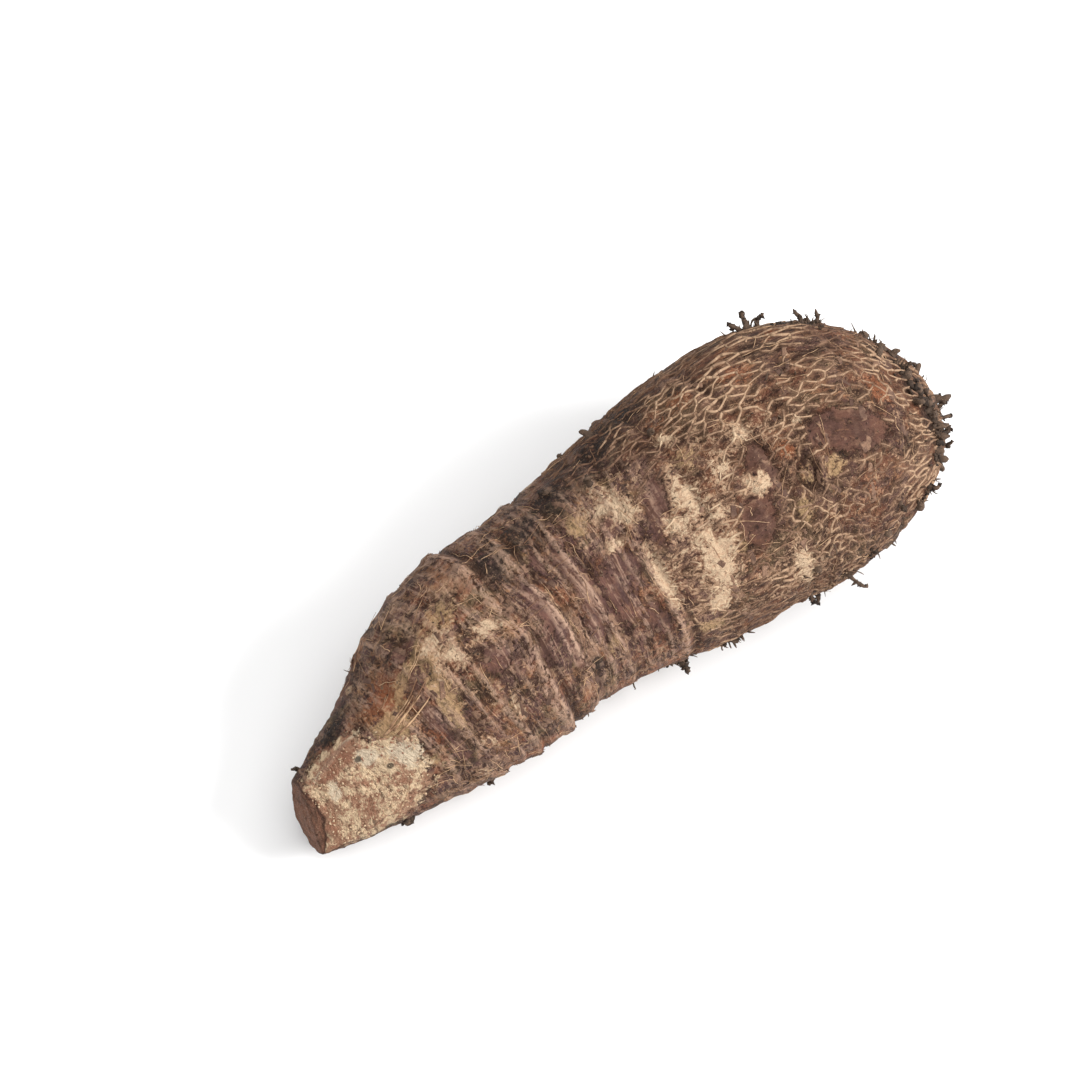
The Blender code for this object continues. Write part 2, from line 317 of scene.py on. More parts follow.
def on_skin(x, angle, lift=0.0):
    """Points of the finished skin, raised by lift."""
    point, _, _, outward = skin_axes(x, angle)
    height = relief(x, angle)
    point, _ = snapped(point + height[..., None] * outward)
    point[..., 2] = np.maximum(point[..., 2], 0)
    return point + np.asarray(lift)[..., None] * outward


def broken_depth(x, angle):
    """How far past a broken face the unbroken skin would reach: above 0 on the broken faces."""
    point, _, _, outward = skin_axes(x, angle)
    _, depths = snapped(point + relief(x, angle)[..., None] * outward)
    return np.maximum(depths[0], depths[1])


def run_table():
    """Places along the tuber, and the length of skin from the tip to each."""
    tip, crown = TIP_DOME[1], CROWN_DOME[1]
    x = tip + (crown - tip) * (1 - np.cos(np.linspace(0, np.pi, 4001))) / 2
    run = np.concatenate([[0], np.cumsum(np.hypot(np.diff(x), np.diff(half_width(x))))])
    return x, run


def new_piece(name, points, *face_groups):
    """A mesh object of the points, given in millimetres from the tuber's own axes; faces as index rows."""
    mesh = bpy.data.meshes.new(name)
    corners = np.concatenate([faces.ravel() for faces in face_groups])
    sizes = np.concatenate([np.full(len(faces), faces.shape[1]) for faces in face_groups])
    mesh.vertices.add(len(points))
    mesh.vertices.foreach_set("co", ((points - ORIGIN) * MM).ravel())
    mesh.loops.add(len(corners))
    mesh.loops.foreach_set("vertex_index", corners)
    mesh.polygons.add(len(sizes))
    mesh.polygons.foreach_set("loop_start", np.concatenate([[0], np.cumsum(sizes)[:-1]]))
    mesh.update(calc_edges=True)
    mesh.validate()
    mesh.shade_smooth()
    piece = bpy.data.objects.new(name, mesh)
    bpy.context.scene.collection.objects.link(piece)
    return piece


def set_values(piece, name, values):
    """Keeps one number, or one vector, for each point of a piece, for its material to read."""
    kind, field = ("FLOAT", "value") if values.ndim == 1 else ("FLOAT_VECTOR", "vector")
    attribute = piece.data.attributes.new(name, kind, "POINT")
    attribute.data.foreach_set(field, values.astype(np.float32).ravel())


# Marks on the skin, where the photograph shows them: place, angle, half length along, half width round,
# turn, strength. Scurf is pale dry skin, ochre is earth, rust is red-brown, bare is smooth purple skin
# with no cork, net is where the cork lines are palest, soot marks are nearly black: dark dirt in small
# spots, and painted shadow in the long marks along the upper side; torn is where the bark came off with
# the tip; white and red are clean flesh and inner bark there
MARKS = {
    "scurf": (
        (27.3, 13, 2.2, 2.4, 0, 1.0), (41.5, -7, 2.4, 2.2, 0, 0.9), (39.3, -29, 2.0, 2.6, 0, 1.0),
        (54.5, -15, 1.3, 1.4, 0, 0.8), (8.4, 2, 4.2, 6.0, 10, 0.7), (10.5, -7, 2.4, 2.0, 0, 1.0),
        (23.5, -15, 2.3, 5.0, 5, 1.0), (17.6, -23, 1.7, 3.4, 20, 0.9), (4.4, -17, 3.2, 2.0, 30, 1.0),
        (10.4, -45, 1.5, 6.5, 0, 1.1), (22.5, -50, 3.2, 8.0, 0, 1.0), (26.0, -43, 3.0, 2.4, 0, 0.7),
        (19.0, -66, 3.2, 3.0, 0, 0.8), (27.7, -29, 1.6, 2.2, 0, 0.8), (41.5, -72, 2.2, 7.5, 4, 1.1),
        (-32.9, -10, 2.2, 2.4, 20, 1.2), (-43.9, 4, 2.8, 1.9, 0, 1.2), (-41.5, -9, 1.8, 2.4, 0, 0.9),
        (-46.0, -7, 2.6, 3.2, 0, 0.4), (-54.2, -82, 1.7, 2.6, 0, 0.9), (-48.0, -62, 1.4, 3.6, 0, 0.7),
        (-38.0, -52, 1.3, 4.6, 0, 0.8), (33.0, -14, 2.6, 3.4, 0, 0.6), (17.0, -34, 13.0, 17.0, 0, 0.27),
        (5.0, 4, 9.0, 12.0, 0, 0.2), (-42.0, -4, 8.0, 9.0, 0, 0.2), (40.0, -12, 12.0, 12.0, 0, 0.2),
        (40.0, -76, 12.0, 9.0, 0, 0.3), (38.0, -31, 2.6, 2.6, 0, 0.8),
    ),
    "ochre": (
        (46.4, -47, 2.6, 3.2, 0, 1.1), (59.8, -38, 3.6, 3.2, 0, 0.9), (51.0, -38, 2.4, 2.8, 0, 0.7),
        (29.1, -47, 3.6, 2.6, 0, 0.7), (15.4, -79, 4.6, 3.4, 0, 0.9), (-0.4, 4, 3.2, 3.2, 0, 1.1),
        (27.5, -2, 4.0, 3.6, 0, 0.8), (9.7, 13, 3.0, 3.0, 0, 0.8), (-11.5, -59, 3.0, 4.0, 0, 0.9),
        (-48.5, -16, 1.8, 6.0, 0, 1.4), (-50.4, -32, 1.6, 5.0, 0, 1.3), (-54.0, 4, 6.0, 2.2, 20, 1.0),
        (-45.5, 2, 3.0, 5.0, 0, 0.9), (-60.5, -9, 3.0, 3.4, 0, 1.3), (-38.0, 12, 4.0, 4.0, 0, 0.7),
        (-63.6, -10, 2.8, 3.4, 0, 2.2), (-61.0, -46, 1.8, 2.6, 0, 0.9), (-40.0, -8, 12.0, 14.0, 0, 0.25),
    ),
    "rust": (
        (48.2, -24, 2.6, 2.2, 0, 1.2), (38.4, 24, 4.0, 4.0, 0, 0.7), (76.9, -7, 5.0, 5.0, 0, 0.8),
        (50.0, 17, 4.0, 4.0, 0, 0.8), (84.0, 12, 4.0, 5.0, 0, 0.8), (88.0, -12, 3.0, 5.0, 0, 0.8),
        (74.0, 30, 5.0, 4.0, 0, 0.7), (60.0, 36, 4.0, 4.0, 0, 0.7), (30.0, 24, 5.0, 4.0, 0, 0.6),
        (70.0, -52, 6.0, 6.0, 0, 0.5), (30.0, -58, 5.0, 5.0, 0, 0.5), (-60.0, 16, 8.0, 6.0, 0, 0.55),
        (-57.0, 2, 6.0, 4.5, 0, 0.9), (-56.0, -34, 3.0, 7.0, 0, 0.7), (-40.0, -96, 16.0, 5.0, 0, 0.7),
        (2.0, -100, 16.0, 5.0, 0, 0.7),
    ),
    "bare": (
        (65.4, -25, 9.4, 4.6, -8, 1.9), (-49.5, -2, 3.4, 2.4, 0, 1.3), (-48.0, 16, 3.4, 3.0, 0, 1.0),
        (-54.0, -24, 2.2, 4.0, 0, 1.1), (-36.0, -26, 3.6, 4.0, 0, 1.0), (-26.0, -38, 3.0, 6.0, 0, 0.8),
        (41.0, -24, 3.0, 7.5, 0, 1.2), (17.0, -14, 2.3, 8.0, -20, 1.5), (33.0, -45, 4.0, 5.0, 0, 1.0),
        (5.0, -28, 3.0, 5.0, 30, 0.8), (-9.0, -28, 3.0, 8.0, 0, 0.9), (6.6, -8, 3.6, 5.0, 0, 0.9),
        (-1.5, -40, 6.0, 10.0, 0, 0.9), (35.3, -40, 3.4, 5.0, 0, 0.9), (-20.0, -50, 2.2, 9.0, 0, 0.8),
        (-21.5, -18, 2.6, 8.0, 0, 1.0), (-12.5, -52, 2.6, 6.0, 0, 0.9), (-8.5, -8, 2.2, 6.0, 0, 0.9),
        (-14.5, -2, 2.0, 5.0, 0, 0.8), (4.5, -62, 3.0, 5.0, 0, 0.9), (-55.0, -52, 3.0, 6.0, 0, 0.9),
    ),
    "net": (
        (45.0, 15, 12.0, 11.0, 0, 1.0), (58.0, 4, 10.0, 7.0, 0, 0.7), (76.0, 10, 9.0, 10.0, 0, 0.5),
        (85.0, -32, 5.0, 13.0, 0, 0.6), (48.0, -70, 14.0, 9.0, 0, 0.4),
    ),
    "soot_and_shadow": (
        (-24.0, 14, 4.0, 9.0, 0, 1.0), (-16.9, -67, 2.0, 2.6, 0, 1.5), (-14.0, 22, 7.0, 8.0, 0, 1.0),
        (-2.0, 26, 7.0, 8.0, 0, 1.0), (12.0, 34, 8.0, 7.0, 0, 1.0), (26.0, 44, 9.0, 6.0, 0, 0.9),
        (-74.0, 33, 5.0, 4.0, 0, 1.2), (-52.0, 22, 5.0, 5.0, 0, 0.7), (-66.0, 60, 9.0, 6.0, 0, 0.9),
        (52.4, -31, 2.4, 1.4, 50, 0.5), (89.0, 0, 5.0, 8.0, 0, 0.9), (91.0, -28, 4.0, 10.0, 0, 0.8),
        (84.0, 24, 6.0, 9.0, 0, 0.8), (63.0, 52, 9.0, 6.0, 0, 0.7), (-54.0, -42, 2.0, 3.4, 0, 0.8),
        (-73.5, -11, 1.2, 1.0, 0, 1.3), (-68.8, -31, 1.2, 1.0, 0, 1.2), (-76.0, -99, 6.0, 2.4, 0, 0.9),
        (-66.0, -106, 4.0, 3.0, 0, 0.9),
    ),
    "torn": (
        (-77.0, -42, 15.5, 15.0, 0, 1.3), (-79.0, 11, 9.0, 2.6, 0, 0.6),
    ),
    "white": (
        (-72.0, -13, 3.6, 2.6, -27, 1.2), (-64.0, -30, 3.4, 3.6, 0, 1.3), (-67.0, -18, 2.0, 1.6, 0, 0.2),
        (-83.3, -17, 2.0, 3.4, -27, 1.0), (-78.0, 9, 9.0, 0.9, 0, 1.3),
    ),
    "red": (
        (-77.5, 3, 6.5, 2.2, 0, 2.2), (-80.0, -40, 5.0, 6.0, 0, 0.45), (-72.0, -58, 10.0, 4.0, 0, 0.4),
        (-90.0, -40, 2.0, 14.0, 0, 1.0),
    ),
}
# The unseen sides get marks of the same kinds by a rule
MARK_SEED = 5
HIDDEN_MARKS = 90
HIDDEN_KINDS = ("scurf", "scurf", "ochre", "rust", "bare", "bare", "soot_and_shadow")
PAINTED_KINDS = ("scurf", "ochre", "rust", "bare", "soot_and_shadow", "torn", "white", "red")


def all_marks():
    """The marks of the table, then ovals of random kinds, places and sizes on the unseen sides."""
    draw = np.random.default_rng(MARK_SEED)
    made = [(kind, *mark) for kind, marks in MARKS.items() for mark in marks]
    for _ in range(HIDDEN_MARKS):
        kind = HIDDEN_KINDS[draw.integers(len(HIDDEN_KINDS))]
        place, angle = draw.uniform(-72, 92), draw.uniform(52, 255)
        size = draw.uniform(1.4, 4.0, 2) * (1.0 if kind in ("scurf", "ochre") else 1.7)
        made.append((kind, place, angle, *size, draw.uniform(-30, 30), draw.uniform(0.7, 1.2)))
    return made


def mark_field(kind, x, angle):
    """How strongly a kind of mark is felt: the sum of soft ovals exp(-d^2), d measured on the skin."""
    field = np.zeros_like(x)
    for sort, place, middle, length, width, turn, strength in all_marks():
        if sort != kind:
            continue
        along = x - place
        around = np.radians((angle - middle + 180) % 360 - 180) * np.maximum(half_width(x), 4)
        c, s = np.cos(np.radians(turn)), np.sin(np.radians(turn))
        far = ((c * along + s * around) / length) ** 2 + ((c * around - s * along) / width) ** 2
        field += strength * np.exp(-far)
    return field


def kept(values):
    """The grid's values as one for each point of the skin: the two end rows keep only their mean."""
    flat = values[1:-1].reshape(-1, *values.shape[2:])
    ends = values[0].mean(0)[None], values[-1].mean(0)[None]
    return np.concatenate([ends[0], flat, ends[1]])


def skin_mesh():
    """The skin on an even grid of rows and columns; each end row is one point."""
    places, run = run_table()
    rows = np.interp(np.linspace(0, run[-1], SKIN_ROWS), run, places)
    turns = np.arange(SKIN_COLUMNS) * 360 / SKIN_COLUMNS
    x, angle = np.meshgrid(rows, turns, indexing="ij")
    point, _, _, outward = skin_axes(x, angle)
    height = relief(x, angle)
    point, pressed = snapped(point + height[..., None] * outward)
    point[..., 2] = np.maximum(point[..., 2], 0)

    index = np.arange(x.size).reshape(x.shape) - (SKIN_COLUMNS - 1)
    here, there = index[1:-1], np.roll(index[1:-1], -1, 1)
    quads = np.stack([here[:-1], here[1:], there[1:], there[:-1]], -1).reshape(-1, 4)
    first, last = np.zeros(SKIN_COLUMNS, int), np.full(SKIN_COLUMNS, index[-1, 0])
    tip_fan = np.stack([first, here[0], there[0]], -1)
    crown_fan = np.stack([last, there[-1], here[-1]], -1)

    piece = new_piece("skin", kept(point), quads, np.concatenate([tip_fan, crown_fan]))
    straight = unbent(x, angle)
    values = {kind: mark_field(kind, x, angle) for kind in PAINTED_KINDS}
    values["straight"] = straight
    values["groove"] = ring_relief(x, straight) + eye_relief(straight)
    values["ring_line"] = ring_line(x, straight)
    values["crown"] = crown_share(x, straight)
    values["end_break"] = ramp(pressed[0], -BREAK_FADE, BREAK_FADE)
    values["end_depth"] = np.clip(pressed[0], 0, 6)
    values["slant_break"] = ramp(pressed[1], -BREAK_FADE, BREAK_FADE)
    for name, field in values.items():
        set_values(piece, name, kept(field))
    return piece


def add_node(tree, kind, inputs=(), **settings):
    """Adds a shader node. Each input is a value, or a socket of another node to link from."""
    node = tree.nodes.new("ShaderNode" + kind)
    for name, value in settings.items():
        setattr(node, name, value)
    for name, value in dict(inputs).items():
        if isinstance(value, bpy.types.NodeSocket):
            tree.links.new(value, node.inputs[name])
        else:
            node.inputs[name].default_value = value
    return node


def maths(tree, operation, first, second=0.0, third=0.0):
    """One Math node: its operation on two or three values."""
    node = add_node(tree, "Math", {0: first, 1: second, 2: third}, operation=operation)
    return node.outputs[0]


def times(tree, *factors):
    """The factors multiplied together."""
    product = factors[0]
    for factor in factors[1:]:
        product = maths(tree, "MULTIPLY", product, factor)
    return product


def blend(tree, share, low, high):
    """Colour low where share is 0, colour high where it is 1."""
    low = (*low, 1.0) if isinstance(low, tuple) and len(low) == 3 else low
    high = (*high, 1.0) if isinstance(high, tuple) and len(high) == 3 else high
    node = add_node(tree, "Mix", {0: share, 6: low, 7: high}, data_type="RGBA", clamp_factor=True)
    return node.outputs[2]


def step_up(tree, value, low, high):
    """0 up to low, 1 from high, an s-curve between."""
    inputs = {"Value": value, "From Min": low, "From Max": high}
    node = add_node(tree, "MapRange", inputs, interpolation_type="SMOOTHSTEP")
    return node.outputs["Result"]


def paint(tree, colour, over, *shares):
    """The colour with another laid over it, by the product of the shares."""
    return blend(tree, times(tree, *shares), colour, over)


def noise(tree, vector, scale, detail=3.0, rough=0.55, distortion=0.0):
    """A random field round 0.5."""
    inputs = {"Vector": vector, "Scale": scale, "Detail": detail, "Roughness": rough}
    inputs["Distortion"] = distortion
    return add_node(tree, "TexNoise", inputs).outputs["Fac"]


def patches(tree, vector, scale, detail, rough, low, high):
    """Ragged patches: noise of that scale, detail and roughness, stepped up from low to high."""
    return step_up(tree, noise(tree, vector, scale, detail, rough), low, high)


def stretched(tree, vector, scale, offset=(0.0, 0.0, 0.0)):
    """The vector times the scale, plus the offset."""
    inputs = {"Vector": vector, "Scale": scale, "Location": offset}
    return add_node(tree, "Mapping", inputs).outputs["Vector"]


def attribute(tree, name, output="Fac"):
    """A value kept by set_values: one number, or its Vector."""
    return add_node(tree, "Attribute", attribute_name=name).outputs[output]


def new_group(name, inputs, outputs):
    """An empty shader node group: its tree, and the sockets to read its inputs from and to fill."""
    tree = bpy.data.node_groups.new(name, "ShaderNodeTree")
    for label, kind, value in inputs:
        socket = tree.interface.new_socket(label, in_out="INPUT", socket_type=kind)
        if value is not None:
            socket.default_value = value
    for label, kind in outputs:
        tree.interface.new_socket(label, in_out="OUTPUT", socket_type=kind)
    return tree, tree.nodes.new("NodeGroupInput").outputs, tree.nodes.new("NodeGroupOutput").inputs


def mottle_group():
    """Mottling of dead bark: noise blotches drift from a colour to Dark, and finer noise adds Pale specks."""
    tree, given, made = new_group(
        "mottle",
        [
            ("Vector", "NodeSocketVector", None),
            ("Colour", "NodeSocketColor", (0.1, 0.06, 0.04, 1.0)),
            ("Dark", "NodeSocketColor", (0.03, 0.02, 0.016, 1.0)),
            ("Pale", "NodeSocketColor", (0.4, 0.28, 0.17, 1.0)),
            ("Size", "NodeSocketFloat", 2.0),
            ("Specks", "NodeSocketFloat", 0.5),
        ],
        [("Colour", "NodeSocketColor"), ("Height", "NodeSocketFloat")],
    )
    blotch_scale = maths(tree, "DIVIDE", 1.0, given["Size"])
    speck_scale = maths(tree, "DIVIDE", 5.5, given["Size"])
    blotches = noise(tree, given["Vector"], blotch_scale, 4.0, 0.6)
    specks = noise(tree, given["Vector"], speck_scale, 2.0, 0.55)
    dark = step_up(tree, blotches, 0.52, 0.34)
    colour = paint(tree, given["Colour"], given["Dark"], dark, 0.8)
    colour = paint(tree, colour, given["Pale"], step_up(tree, specks, 0.58, 0.7), given["Specks"])
    tree.links.new(colour, made["Colour"])
    tree.links.new(maths(tree, "ADD", blotches, specks), made["Height"])
    return tree


mottle = mottle_group()


def mottled(tree, vector, colour, dark, pale, size, specks):
    """Places the mottle group with its own values: returns its colour and its height."""
    node = add_node(tree, "Group", node_tree=mottle)
    tree.links.new(vector, node.inputs["Vector"])
    for label, value in (("Colour", colour), ("Dark", dark), ("Pale", pale)):
        node.inputs[label].default_value = (*value, 1.0)
    node.inputs["Size"].default_value = size
    node.inputs["Specks"].default_value = specks
    return node.outputs["Colour"], node.outputs["Height"]


def new_material(name, roughness, specular):
    """A material with a Principled surface: returns it, its tree and the surface node."""
    material = bpy.data.materials.new(name)
    material.use_nodes = True
    tree = material.node_tree
    surface = tree.nodes["Principled BSDF"]
    surface.inputs["Roughness"].default_value = roughness
    surface.inputs["Specular IOR Level"].default_value = specular
    return material, tree, surface


def raise_bumps(tree, surface, height, strength, distance):
    """Feeds a height, in the bump's own units, to the surface's normal."""
    inputs = {"Height": height, "Strength": strength, "Distance": distance}
    bump = add_node(tree, "Bump", inputs)
    tree.links.new(bump.outputs["Normal"], surface.inputs["Normal"])


def grain_group():
    """Grain of dead bark: fibres run round the body, and along it on the crown, over small pits.

    Coordinates are first shaken by noise. Grain is about 0.5, lower in cracks and higher on ridges. Torn
    is a ragged field round 0. Flakes and holes are 1 in small scattered specks, and lines are 1 on the
    edges of small long cells.
    """
    tree, given, made = new_group(
        "bark_grain",
        [("Vector", "NodeSocketVector", None), ("Crown", "NodeSocketFloat", 0.0)],
        [(label, "NodeSocketFloat") for label in ("Grain", "Torn", "Flakes", "Holes", "Lines")],
    )
    shake = add_node(tree, "TexNoise", {"Vector": given["Vector"], "Scale": 0.45, "Detail": 4.0})
    inputs = {0: shake.outputs["Color"], 1: (0.5, 0.5, 0.5)}
    centred = add_node(tree, "VectorMath", inputs, operation="SUBTRACT")
    far = add_node(tree, "VectorMath", {0: centred.outputs[0], "Scale": 1.7}, operation="SCALE")
    place = add_node(tree, "VectorMath", {0: given["Vector"], 1: far.outputs[0]}).outputs[0]

    rings = noise(tree, stretched(tree, place, (1, 0.25, 0.25)), 0.8, 3.0, 0.6)
    combs = noise(tree, stretched(tree, place, (0.25, 1, 1)), 0.8, 3.0, 0.6)
    pits = noise(tree, place, 1.1, 3.0, 0.6)
    fibre = add_node(tree, "Mix", {0: given["Crown"], 2: rings, 3: combs}).outputs[0]
    grain = maths(tree, "ADD", maths(tree, "MULTIPLY", fibre, 0.6), maths(tree, "MULTIPLY", pits, 0.4))
    tree.links.new(grain, made["Grain"])

    large = maths(tree, "MULTIPLY_ADD", noise(tree, place, 0.42, 5.0, 0.66), 2.4, -1.2)
    small = maths(tree, "MULTIPLY_ADD", noise(tree, place, 1.3, 2.5, 0.6), 1.6, -0.8)
    tree.links.new(maths(tree, "ADD", large, small), made["Torn"])

    flakes = patches(tree, place, 1.7, 2.0, 0.6, 0.60, 0.72)
    aside = stretched(tree, place, (1, 1, 1), (30, 0, 0))
    holes = patches(tree, aside, 0.9, 2.0, 0.6, 0.36, 0.28)
    edges = []
    for shape in ((1, 0.3, 0.3), (0.27, 1, 1)):
        inputs = {"Vector": stretched(tree, place, shape), "Scale": 0.62}
        edges.append(add_node(tree, "TexVoronoi", inputs, feature="DISTANCE_TO_EDGE").outputs["Distance"])
    edge = add_node(tree, "Mix", {0: given["Crown"], 2: edges[0], 3: edges[1]}).outputs[0]
    wide = maths(tree, "MULTIPLY_ADD", noise(tree, place, 0.5, 3.0, 0.6), 0.36, -0.15)
    lines = step_up(tree, maths(tree, "SUBTRACT", edge, wide), 0.045, -0.015)
    tree.links.new(lines, made["Lines"])
    tree.links.new(flakes, made["Flakes"])
    tree.links.new(holes, made["Holes"])
    return tree


grain_tree = grain_group()

PURPLE_BROWN = (0.112, 0.057, 0.047)
DARK_PURPLE = (0.030, 0.0145, 0.0095)
RED_BROWN = (0.172, 0.066, 0.038)
OLIVE_BROWN = (0.098, 0.066, 0.036)
ORANGE_TAN = (0.34, 0.17, 0.085)
TAN = (0.40, 0.248, 0.155)
PLUM = (0.074, 0.040, 0.038)
PINK_TAN = (0.40, 0.26, 0.185)
BARE_PURPLE = (0.115, 0.055, 0.043)
BARE_WARM = (0.155, 0.07, 0.048)
HALO_BROWN = (0.25, 0.145, 0.088)
SCURF = (0.47, 0.34, 0.225)
SCURF_PALE = (0.56, 0.43, 0.30)
OCHRE = (0.37, 0.24, 0.125)
RUST = (0.23, 0.078, 0.034)
SOOT = (0.014, 0.011, 0.010)
FLESH_PALE = (0.56, 0.41, 0.265)
FLESH_WHITE = (0.56, 0.46, 0.335)
FLESH_RED = (0.23, 0.105, 0.065)
FLESH_CRACK = (0.085, 0.04, 0.026)
END_BROWN = (0.15, 0.074, 0.050)
END_DARK = (0.045, 0.022, 0.016)
END_RIM = (0.05, 0.024, 0.017)
# Patches of colour: the noise's scale, detail and roughness, and where its step starts and ends
RED_PATCHES = (0.11, 5.0, 0.62, 0.47, 0.57)
OLIVE_PATCHES = (0.09, 5.0, 0.64, 0.52, 0.62)
BARE_PATCHES = (0.2, 3.0, 0.6, 0.44, 0.6)
SHADE_PATCHES = (0.17, 4.0, 0.6, 0.54, 0.42)
PLUM_PATCHES = (0.2, 3.0, 0.6, 0.52, 0.58)
ORANGE_PATCHES = (0.16, 4.0, 0.62, 0.46, 0.6)
LIGHT_PATCHES = (0.15, 5.0, 0.66, 0.5, 0.62)
PEAK_PATCHES = (0.16, 4.0, 0.6, 0.34, 0.58)
FLESH_PATCHES = (0.34, 4.0, 0.62, 0.47, 0.56)
END_PATCHES = (0.3, 4.0, 0.65, 0.46, 0.6)
# How each mark is painted: where its step starts and ends, and its strength
RUST_STEP = (0.35, 0.9, 0.7)
OCHRE_STEP = (0.35, 0.8, 0.75)
SCURF_EDGE_STEP = (0.22, 0.55, 0.75)
SCURF_STEP = (0.5, 0.75, 0.95)
SOOT_AND_SHADOW_STEP = (0.3, 1.1, 0.85)


def ground_colours(tree, straight):
    """Browns that drift into each other over the body, and the colour of skin with no cork."""
    red_place = stretched(tree, straight, (0.6, 1, 1))
    olive_place = stretched(tree, straight, (1, 1, 1), (40, 0, 0))
    purple, _ = mottled(tree, straight, PURPLE_BROWN, DARK_PURPLE, TAN, 3.0, 0.35)
    red, _ = mottled(tree, red_place, RED_BROWN, DARK_PURPLE, OCHRE, 2.2, 0.4)
    olive, _ = mottled(tree, straight, OLIVE_BROWN, SOOT, TAN, 2.6, 0.5)
    colour = blend(tree, patches(tree, straight, *RED_PATCHES), purple, red)
    colour = blend(tree, patches(tree, olive_place, *OLIVE_PATCHES), colour, olive)
    bare, _ = mottled(tree, straight, BARE_PURPLE, DARK_PURPLE, RED_BROWN, 3.4, 0.3)
    return colour, blend(tree, patches(tree, straight, *BARE_PATCHES), bare, BARE_WARM)


def flesh_colours(tree, straight, grain, torn):
    """Torn flesh, pale with red and white parts and dark cracks: its colour and its height."""
    flesh, crumb = mottled(tree, straight, FLESH_PALE, FLESH_RED, OCHRE, 2.4, 0.7)
    flesh = paint(tree, flesh, FLESH_RED, patches(tree, straight, *FLESH_PATCHES), 0.75)
    flesh = paint(tree, flesh, FLESH_CRACK, step_up(tree, grain, 0.46, 0.38), 0.75)
    for kind, tint in (("white", FLESH_WHITE), ("red", FLESH_RED)):
        felt = maths(tree, "MULTIPLY_ADD", torn, 0.6, attribute(tree, kind))
        flesh = paint(tree, flesh, tint, step_up(tree, felt, 0.35, 0.8), 0.8)
    # Soot marks over the flesh: nearly black dirt, and painted shadow where they reach the upper side
    flesh = paint(tree, flesh, SOOT, step_up(tree, attribute(tree, "soot_and_shadow"), 0.5, 0.9), 0.8)
    return flesh, crumb


def end_colour(tree, straight, torn):
    """The snapped end: brown and blotched with red, darker at its rim, where the break is shallow."""
    tint, _ = mottled(tree, straight, END_BROWN, END_DARK, FLESH_PALE, 1.6, 0.6)
    tint = paint(tree, tint, FLESH_RED, patches(tree, straight, *END_PATCHES), 0.5)
    rim = step_up(tree, maths(tree, "ADD", attribute(tree, "end_depth"), torn), 1.5, 0.6)
    return paint(tree, tint, END_RIM, rim, 0.8)


